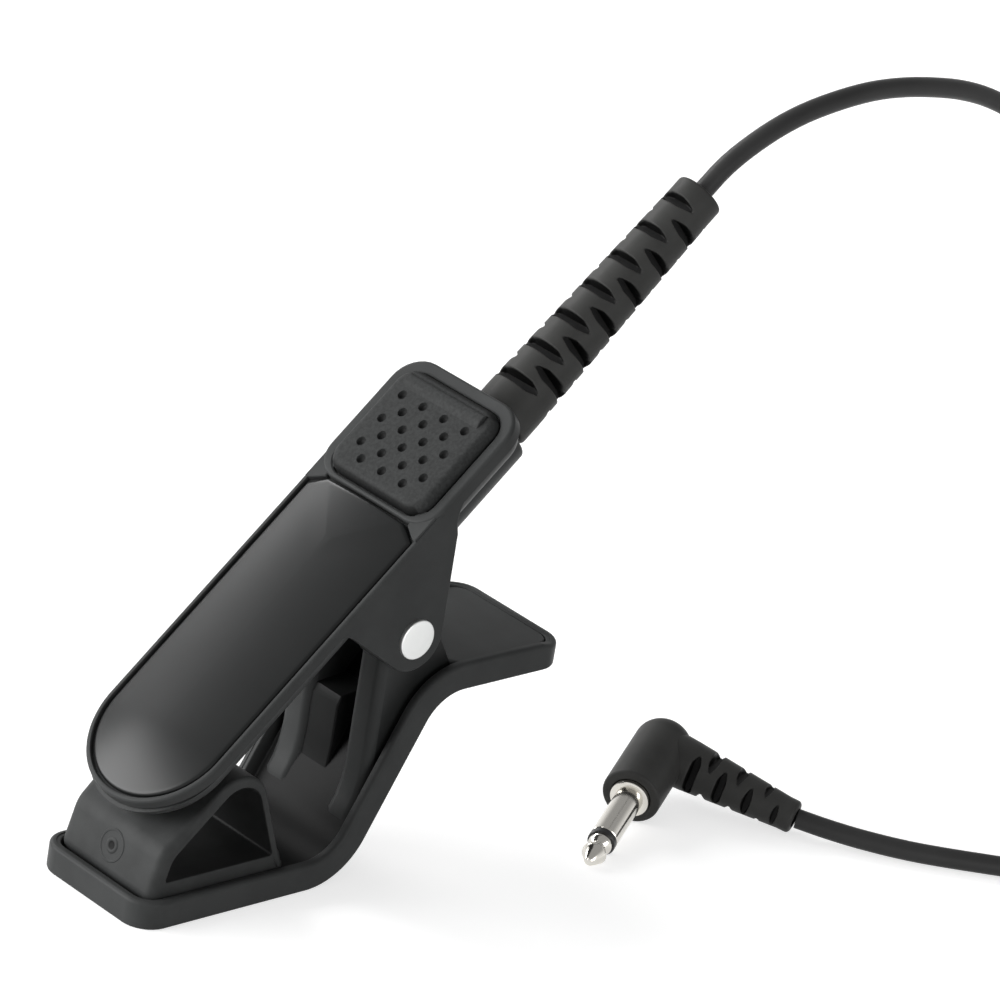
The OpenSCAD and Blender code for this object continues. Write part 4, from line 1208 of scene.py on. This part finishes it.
def build_jaw(jaw):
    """The S-bent channel, with the plate in its handle, its lugs and the wall between them."""
    s = in_mm(jaw)
    ends, _, _, long = band_stretches(s)
    stops = [s.corner + 0.5, long - s.corner - 0.5]
    for a, b in zip([8] + ends, ends + [long - 8]):
        stops += [a + (b - a) * i / 16 for i in range(16)]
    stops = sorted(set(round(d, 3) for d in stops))

    def ring(inset, h):
        half, r = JAW_HALF - inset, max(0.3, s.corner - inset)
        right = arc(half - r, inset + r, r, -90, 0, 8) + [(half, d) for d in stops]
        right += arc(half - r, long - inset - r, r, 0, 90, 8)
        made = []
        for x, d in right + [(-x, d) for x, d in reversed(right)]:
            late = min(1, max(0, (d - long + 4.5) / 2.5))
            y, z = on_band(s, d, h - s.plate_drop * late * h / s.edge)
            made.append((x, y, z))
        return made

    shell = Shell()
    profile = [(0.3, 0), (0.09, 0.09), (0, 0.3), (0, s.edge - s.rim_edge)]
    profile += [(d, s.edge - drop) for d, drop in rounding(s.rim_edge, 5)][1:]
    profile += [(0.72, s.edge), (0.76, s.edge - 0.09), (s.rim - 0.12, s.edge - 0.1),
                (s.rim - 0.02, s.edge - 0.18), (s.rim + 0.03, s.edge - 0.4), (s.rim + 0.25, s.web + 0.35),
                (s.rim + 0.38, s.web + 0.09), (s.rim + 0.65, s.web)]
    rings = [ring(d, h) for d, h in profile]
    number = len(rings[0])
    first = shell.wall(rings)
    # painted shade down the channel: points inside the rim get their depth below the rim's top
    shade_depths = [0 if d < s.rim - 0.05 else s.edge - h for d, h in profile for _ in range(number)]
    last = first + (len(rings) - 1) * number
    for i in range(number // 2 - 1):
        j = number - 1 - i
        shell.faces.append((first + i, first + j, first + j - 1, first + i + 1))
        shell.faces.append((last + i, last + i + 1, last + j - 1, last + j))

    # plate that fills the handle
    top = s.handle + s.edge - s.plate_drop - 0.15
    half, rear = JAW_HALF - s.rim - 0.2, LOWER_JAW[1].y - JAW_FRONT - s.rim - 0.1
    steps = [(0, s.handle + 0.55)] + [(d, top - drop) for d, drop in rounding(0.3, 4)]
    shell.stack([level(block_ring(half - d, s.plate_from + d * 2.5, rear - d * 0.2, 1.6, 2.0), z)
                 for d, z in steps])
    shade_depths += [0] * (len(shell.points) - len(shade_depths))

    # hinge lugs, with edges that widen towards the front, and the wall between them; each lug's mesh is
    # 12 rings of its outline, whose first three points lie in the channel and get painted shade
    outline = lug_outline(s)
    edges = [min(1.1, max(0.3, 0.3 + 0.16 * (i - 14))) for i in range(len(outline))]
    for side in (-1, 1):
        across = sorted((side * LUG_OUT, side * (LUG_OUT - s.lug)))
        shell.plate(outline, across[0], across[1], edges, 5)
        shade_depths += ([1.6] * 3 + [0] * (len(outline) - 3)) * 12
    wall = s.lug_front + 0.6
    section = [(35.2, 9.5), (39.6, 17.5), (39.6, 19.9), (wall + 0.5, 19.3), (wall, 18), (wall, 12.8),
               (wall - 0.3, 9.8), (wall - 1.2, 7.4), (wall - 1.3, 6.2)]
    shell.plate(section, s.lug - LUG_OUT - 0.2, s.wall_end, 0.25)
    # the wall between the lugs gets painted shade all over
    shade_depths += [1.5] * (len(shell.points) - len(shade_depths))
    made = shell.piece("channel_jaw")
    mark_painted_shade(made, shade_depths)
    settle(made, LOWER, ["lower_jaw"], moulded_abs, 34)


# ---- rubber pad ----

class PickupRubber(bpy.types.PropertyGroup):
    """Hollow rubber arch in the lower jaw's mouth."""
    width: size("Width", 16.8, "Width of the arch")
    front_wall: size("Front wall", 1.6, "Wall under the upper jaw")
    rear_wall: size("Rear wall", 1.0, "Wall at the rear")
    floor: size("Tunnel floor", 5.15, "Height of the tunnel's floor")
    end: size("Skirt end", 23, "From the front edge to the skirt's rear end")
    corner_edge: size("Front corners", 1.3, "Radius of the front corners")
    edge: size("Edge", 0.45, "Radius of the other edges")
    gate_width: size("Gate mark", 4.1, "Width of the gate mark on its front face")


def crossing(p, u, q, v):
    """Crossing of the line through p along u with the line through q along v."""
    p, u, q, v = Vector(p), Vector(u), Vector(q), Vector(v)
    return tuple(p + u * ((q - p).cross(v) / u.cross(v)))


def build_rubber(rubber):
    """The hollow arch on its skirt, with the gate mark on its front."""
    s = in_mm(rubber)
    up = Vector((math.cos(REST_ANGLE), math.sin(REST_ANGLE)))
    square = Vector((-up.y, up.x))
    knee = PIN_AT + up * -39 + square * (HULL_BASE - 0.15)
    foot, back, rear = (knee.x - 1.85, 1.8), Vector((1, -2.63)).normalized(), (18.3, 13)
    front = (knee - Vector(foot)).normalized()
    peak = crossing(knee, up, rear, back)
    outer = [foot, crossing((0, 1.8), (1, 0), rear, back), peak, tuple(knee)]
    inside, within = knee - square * s.front_wall, (rear[0] - s.rear_wall * 1.07, rear[1])
    wall = Vector(foot) + Vector((front.y, -front.x)) * s.front_wall
    inner = [crossing((0, s.floor), (1, 0), wall, front), crossing((0, s.floor), (1, 0), within, back),
             crossing(inside, up, within, back), crossing(inside, up, wall, front)]
    outline = rounded(outer, [1.7, 0.3, 4.6, 4.0], 12)
    hole = rounded(inner, [0.3, 0.3, 3.4, 3.0], 12)
    edges = [s.corner_edge if y < knee.x + 1.2 else s.edge for y, _ in outline]
    shell = Shell()
    shell.loop(outline, hole, s.width / 2, edges, 0.18)
    half = JAW_HALF - RIM_WIDTH - 0.14
    skirt = [(0, 1.75), (0, 3.3), (0.12, 3.5), (0.3, 4.6), (0.5, s.floor - 0.1), (0.8, s.floor - 0.02)]
    shell.stack([level(block_ring(half - d, 2.3 + d, s.end - 1.5 * d, 2.06 - d * 0.5), z) for d, z in skirt])
    # gate mark: a fine ring round a small raised eye, whose middle is painted near black as painted shade
    middle = Vector(foot) + front * 4.7
    mark = Shell(lambda along, u, v: on_jaw(u, middle.x - front.y * along + front.x * v,
                                            middle.y + front.x * along + front.y * v))
    r = s.gate_width / 2
    ring = [(-0.4, 0), (-0.4, r), (0.0, r), (0.07, r - 0.08), (0.07, r - 0.25), (0.015, r - 0.33)]
    eye = [(0.015, 1.0), (0.1, 0.9), (0.15, 0.75), (0.12, 0.58), (0.03, 0.46), (0.02, 0.4), (0.02, 0)]
    mark.turned(ring + eye, 40)
    made, gate = shell.piece("rubber_arch"), mark.piece("gate_mark")
    # the arch's mesh is 10 rings outside, then 8 in the tunnel, the third to the seventh given painted shade
    number = len(outline)
    mark_painted_shade(made, [0.17 if 12 * number <= i < 17 * number else 0 for i in range(len(shell.points))])
    mark_painted_shade(gate, [0.3 if i >= 10 * 40 else 0 for i in range(len(mark.points))])
    fuse(made, gate)
    settle(made, LOWER, ["jaw_pad"], pressed_rubber, 34)


# ---- hinge ----

class PickupHinge(bpy.types.PropertyGroup):
    """Pin and torsion spring."""
    pin: size("Pin", 3, "Diameter of the pin")
    head: size("Head", 5, "Diameter of its heads")
    head_edge: size("Head edge", 0.18, "Radius of a head's edge")
    wire: size("Wire", 1, "Diameter of the spring's wire")
    turns: count("Turns", 5, "Turns of the spring")
    clear: size("Clearance", 0.9, "From the pin to the spring's wire")


def touching(centre, r, p, side):
    """Where the line from p touches a circle, on its left (1) or right (-1)."""
    away = centre - p
    turn = side * math.asin(r / away.length)
    return p + Matrix.Rotation(turn, 2) @ away.normalized() * math.sqrt(away.length ** 2 - r * r)


def build_hinge(hinge):
    """The headed pin, and the torsion spring with a leg on each jaw."""
    s = in_mm(hinge)
    face, r = EAR_OUT + 0.45, s.head / 2
    head = [(EAR_OUT, s.pin / 2), (EAR_OUT, r)]
    head += [(face - drop, r - d) for d, drop in rounding(s.head_edge, 4)] + [(face, 0.6), (face, 0)]
    pin = Shell(lambda along, u, v: PIN + Vector((along, u, v)))
    pin.turned([(-along, radius) for along, radius in reversed(head)] + head, 56)
    settle(pin.piece("hinge_pin"), UPPER, ["pivot_pin"], tumbled_nickel, 40)

    # one leg ends under the hull, so far behind the pin, the other on the handle, so far from the front
    hull_leg, handle_leg = 10.5, 47.5
    ring = s.pin / 2 + s.clear + s.wire / 2
    half = (s.wire + 0.08) * s.turns / 2
    seat = on_housing(0, hull_leg, HULL_BASE - s.wire / 2 - 0.1)
    high = Vector((seat.y - JAW_FRONT, seat.z))
    low = Vector((handle_leg, HANDLE_TOP + s.wire / 2 + 0.05))
    high_from, low_from = touching(PIN_AT, ring, high, -1), touching(PIN_AT, ring, low, 1)
    start = math.atan2(low_from.y - PIN_AT.y, low_from.x - PIN_AT.x)
    stop = math.atan2(high_from.y - PIN_AT.y, high_from.x - PIN_AT.x)
    sweep = 2 * math.pi * (s.turns - 1) + (start - stop) % (2 * math.pi)
    steps = 30 * s.turns
    line = [on_jaw(-half, *low.lerp(low_from, i / 6)) for i in range(6)]
    line += [on_jaw(-half + 2 * half * i / steps, PIN_AT.x + ring * math.cos(start - sweep * i / steps),
                    PIN_AT.y + ring * math.sin(start - sweep * i / steps)) for i in range(steps + 1)]
    line += [on_jaw(half, *high_from.lerp(high, i / 6)) for i in range(1, 7)]
    spring = new_piece("coiled_spring", line, edges=[(i, i + 1) for i in range(len(line) - 1)])
    through_tree(spring, tube_tree(), {
        "Radius": hinge.wire / 2, "Sides": 14, "Material": finish(spring_wire)})
    settle(spring, None, ["torsion_spring"], spring_wire, 40)
    # its turns twist from one leg to the other, so that each leg stays on its own jaw
    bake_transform(spring)


# ---- plug ----

class PickupPlug(bpy.types.PropertyGroup):
    """Right-angle jack plug, lying on its moulding and its point."""
    sleeve: size("Sleeve", 3.5, "Diameter of the sleeve")
    shaft: size("Shaft", 14.5, "From the point to the moulding")
    body: size("Body", 7.4, "Diameter of the moulding")
    body_length: size("Body length", 14, "Length of the moulding along the shaft")
    arm: size("Arm", 6.4, "Diameter of the arm at the moulding")
    arm_end: size("Arm end", 4.2, "Diameter of the arm at the lead")
    arm_length: size("Arm length", 18.6, "From the shaft's axis to the arm's end")
    first: size("First slot", 5.2, "From the shaft's axis to the middle of the arm's first slot")
    pitch: size("Slot pitch", 3.7, "Spacing of the arm's slots that face one way")
    pairs: count("Pairs", 4, "Pairs of slots that face the first way")
    slot: size("Slot", 0.95, "Width of a slot")
    turn: angle("Turn", 118, "Way from the point to the moulding, seen from above")


def build_plug(plug):
    """The plug's moulding with its ribbed arm, and the point, ring and shaft of its jack."""
    s = in_mm(plug)
    r, elbow = s.body / 2, s.shaft + s.body_length - s.body / 2
    dip = math.asin((r - 0.5) / (s.shaft + 1))
    arm_dip = math.asin((0.5 + elbow * math.sin(dip) - s.arm_end / 2 - 0.1) / s.arm_length)
    stand = (Matrix.Translation(on_jaw(20, 61, 0.5) * MM) @ Matrix.Rotation(s.turn - math.pi / 2, 4, "Z"))
    along = stand @ Matrix.Rotation(dip - math.pi / 2, 4, "X")
    out = (stand @ Matrix.Translation(Vector((0, math.cos(dip), math.sin(dip))) * elbow * MM)
           @ Matrix.Rotation(math.pi / 2 + arm_dip, 4, "Y"))

    def turned(name, profile, place, steps=56):
        shell = Shell(along_z)
        shell.turned(profile, steps)
        made = shell.piece(name)
        made.data.transform(place)
        return made

    top = s.shaft + s.body_length
    barrel = [(s.shaft + 1, 0), (s.shaft + 1, 2.55), (s.shaft, 2.6), (s.shaft, r - 0.35)]
    barrel += arc(s.shaft + 0.35, r - 0.35, 0.35, 160, 90, 4) + arc(top - 2.7, r - 2.7, 2.7, 90, 0, 12)
    body = turned("plug_moulding", barrel + [(top, 0)], along)
    wide, thin, end = s.arm / 2, s.arm_end / 2, s.arm_length
    arm = [(0, 0), (0, wide + 0.1), (2.6, wide + 0.1), (4.2, wide), (end - 1.6, thin), (end - 0.5, thin)]
    arm += arc(end - 0.5, thin - 0.5, 0.5, 75, 0, 4)
    bore = [(end, 1.3), (end - 0.5, 1.27), (end - 0.5, 0)]
    rows = sleeve_rows(arm, s.first, s.pitch, s.pairs, 0.75) + bore
    side = turned("plug_arm", rows, Matrix.Identity(4), 80)
    through_tree(side, slotted_tree(), {
        "First": plug.first, "Pitch": plug.pitch, "Pairs": plug.pairs, "Width": plug.slot, "Edge": 0.24 * MM,
        "Core": 1.55 * MM, "Taper": 1.0 * MM, "Material": finish(overmoulded_pvc)})
    side.data.transform(out)
    fuse(body, side)
    settle(body, LOWER, ["plug_body"], overmoulded_pvc, 50)

    r, inside = s.sleeve / 2, s.shaft + 3
    point = [(0, 0), (0.05, 0.35), (0.25, 0.6), (1.75, 1.5), (2.05, 1.56), (2.3, 1.5), (2.95, 0.98),
             (3.3, 0.98), (3.75, 1.4), (3.9, 1.48), (4.3, 1.48), (4.3, 0.8), (inside, 0.8), (inside, 0)]
    settle(turned("plug_point", point, along), LOWER, ["plug_tip"], bright_nickel, 34)
    ring = [(4.32, 0.85), (4.32, r - 0.06), (4.4, r), (5.12, r), (5.18, r - 0.05), (5.18, 1.08),
            (inside, 1.08), (inside, 0.85), (4.32, 0.85)]
    settle(turned("plug_ring", ring, along), LOWER, ["plug_insulator"], moulded_insulator, 34)
    collar = [(-0.62, r), (-0.6, 2.3), (-0.5, 2.45), (-0.3, 2.5), (1, 2.5), (1, 1.5), (3, 1.5), (3, 1.12)]
    sleeve = [(5.2, 1.12), (5.2, r - 0.1), (5.3, r)]
    sleeve += [(s.shaft + past, radius) for past, radius in collar] + [(5.2, 1.12)]
    settle(turned("plug_shaft", sleeve, along), LOWER, ["plug_sleeve"], bright_nickel, 34)


# ---- tie ----

def build_tie():
    """Strap that holds the coil's turns together."""
    low, high = node_box("coil_tie")
    middle = (low.y + high.y) / 2
    shell = Shell(lambda along, x, z: Vector((x, middle + along, z)))
    outer = rounded([(low.x, 0), (high.x, 0), (high.x, high.z), (low.x, high.z)], [1.4] * 4, 6)
    inner = rounded([(low.x + 0.85, 0.02), (high.x - 0.85, 0.02), (high.x - 0.85, high.z - 0.85),
                     (low.x + 0.85, high.z - 0.85)], [0.9] * 4, 6)
    shell.loop(outer, inner, (high.y - low.y) / 2, [0.01 if z < 0.3 else 0.25 for _, z in outer], 0.01)
    settle(shell.piece("coil_strap"), LOWER, ["coil_tie"], pressed_rubber, 40)


# ---- operators ----

class PICKUP_OT_stage(bpy.types.Operator):
    """Lay the floor, light the scene and place the camera"""
    bl_idname = "pickup.stage"
    bl_label = "Stage"

    def execute(self, context):
        build_stage(context.scene.pickup_stage)
        return {"FINISHED"}


class PICKUP_OT_lead(bpy.types.Operator):
    """Run the lead from the boot through its coil to the plug"""
    bl_idname = "pickup.lead"
    bl_label = "Lead"

    def execute(self, context):
        build_lead(context.scene.pickup_lead)
        return {"FINISHED"}


class PICKUP_OT_sensor(bpy.types.Operator):
    """Finish the sensor's parts inside the housing"""
    bl_idname = "pickup.sensor"
    bl_label = "Sensor"

    def execute(self, context):
        coat("piezo_disc", rolled_brass)
        coat("piezo_ceramic", silvered_ceramic)
        coat("sensor_cushion", cell_foam)
        coat("sensor_leads", wire_pvc)
        return {"FINISHED"}


class PICKUP_OT_boot(bpy.types.Operator):
    """Mould the ribbed boot behind the housing"""
    bl_idname = "pickup.boot"
    bl_label = "Ribbed boot"

    def execute(self, context):
        build_boot(context.scene.pickup_boot)
        return {"FINISHED"}


class PICKUP_OT_cover(bpy.types.Operator):
    """Mould the crowned cover"""
    bl_idname = "pickup.cover"
    bl_label = "Top cover"

    def execute(self, context):
        build_cover(context.scene.pickup_cover)
        return {"FINISHED"}


class PICKUP_OT_tray(bpy.types.Operator):
    """Mould the tray with its bezel, ears and boot seat"""
    bl_idname = "pickup.tray"
    bl_label = "Tray"

    def execute(self, context):
        build_tray(context.scene.pickup_tray)
        return {"FINISHED"}


class PICKUP_OT_thumb_pad(bpy.types.Operator):
    """Mould the dimpled thumb pad"""
    bl_idname = "pickup.thumb_pad"
    bl_label = "Thumb pad"

    def execute(self, context):
        build_thumb_pad(context.scene.pickup_thumb_pad)
        return {"FINISHED"}


class PICKUP_OT_jaw(bpy.types.Operator):
    """Mould the S-bent lower jaw"""
    bl_idname = "pickup.jaw"
    bl_label = "Lower jaw"

    def execute(self, context):
        build_jaw(context.scene.pickup_jaw)
        return {"FINISHED"}


class PICKUP_OT_rubber(bpy.types.Operator):
    """Press the rubber arch, and finish the pad under the nose"""
    bl_idname = "pickup.rubber"
    bl_label = "Rubber pads"

    def execute(self, context):
        build_rubber(context.scene.pickup_rubber)
        coat("nose_pad", pressed_rubber)
        return {"FINISHED"}


class PICKUP_OT_hinge(bpy.types.Operator):
    """Turn the pin and wind the spring"""
    bl_idname = "pickup.hinge"
    bl_label = "Pin and spring"

    def execute(self, context):
        build_hinge(context.scene.pickup_hinge)
        return {"FINISHED"}


class PICKUP_OT_plug(bpy.types.Operator):
    """Make the right-angle jack plug"""
    bl_idname = "pickup.plug"
    bl_label = "Plug"

    def execute(self, context):
        build_plug(context.scene.pickup_plug)
        return {"FINISHED"}


class PICKUP_OT_tie(bpy.types.Operator):
    """Strap the coil"""
    bl_idname = "pickup.tie"
    bl_label = "Coil strap"

    def execute(self, context):
        build_tie()
        return {"FINISHED"}


class PICKUP_PT_panel(bpy.types.Panel):
    """Lists the settings and the pieces of the clip"""
    bl_label = "Contact Pickup"
    bl_idname = "PICKUP_PT_panel"
    bl_space_type = "VIEW_3D"
    bl_region_type = "UI"
    bl_category = "Pickup"

    def draw(self, context):
        for name, (_, operators) in GROUPS.items():
            box = self.layout.box()
            group = getattr(context.scene, name)
            for value in group.__annotations__:
                box.prop(group, value)
            for operator in operators:
                box.operator(operator.bl_idname)


# each group of settings, with the operators listed under it
GROUPS = {
    "pickup_finishes": (PickupFinishes, [PICKUP_OT_sensor]),
    "pickup_stage": (PickupStage, [PICKUP_OT_stage]),
    "pickup_lead": (PickupLead, [PICKUP_OT_tie, PICKUP_OT_lead]),
    "pickup_boot": (PickupBoot, [PICKUP_OT_boot]),
    "pickup_cover": (PickupCover, [PICKUP_OT_cover]),
    "pickup_tray": (PickupTray, [PICKUP_OT_tray]),
    "pickup_thumb_pad": (PickupThumbPad, [PICKUP_OT_thumb_pad]),
    "pickup_jaw": (PickupJaw, [PICKUP_OT_jaw]),
    "pickup_rubber": (PickupRubber, [PICKUP_OT_rubber]),
    "pickup_hinge": (PickupHinge, [PICKUP_OT_hinge]),
    "pickup_plug": (PickupPlug, [PICKUP_OT_plug]),
}


def register():
    """Registers the settings, the operators and the panel."""
    for name, (group, operators) in GROUPS.items():
        bpy.utils.register_class(group)
        setattr(bpy.types.Scene, name, PointerProperty(type=group))
        for operator in operators:
            bpy.utils.register_class(operator)
    bpy.utils.register_class(PICKUP_PT_panel)


def unregister():
    """Takes back what register did."""
    bpy.utils.unregister_class(PICKUP_PT_panel)
    for name, (group, operators) in GROUPS.items():
        for operator in operators:
            bpy.utils.unregister_class(operator)
        delattr(bpy.types.Scene, name)
        bpy.utils.unregister_class(group)


def main():
    """Builds the clip."""
    register()
    bpy.ops.pickup.stage()
    bpy.ops.pickup.boot()
    bpy.ops.pickup.cover()
    bpy.ops.pickup.tray()
    bpy.ops.pickup.thumb_pad()
    bpy.ops.pickup.jaw()
    bpy.ops.pickup.rubber()
    bpy.ops.pickup.hinge()
    bpy.ops.pickup.sensor()
    bpy.ops.pickup.plug()
    bpy.ops.pickup.tie()
    bpy.ops.pickup.lead()


if __name__ == "__main__":
    main()
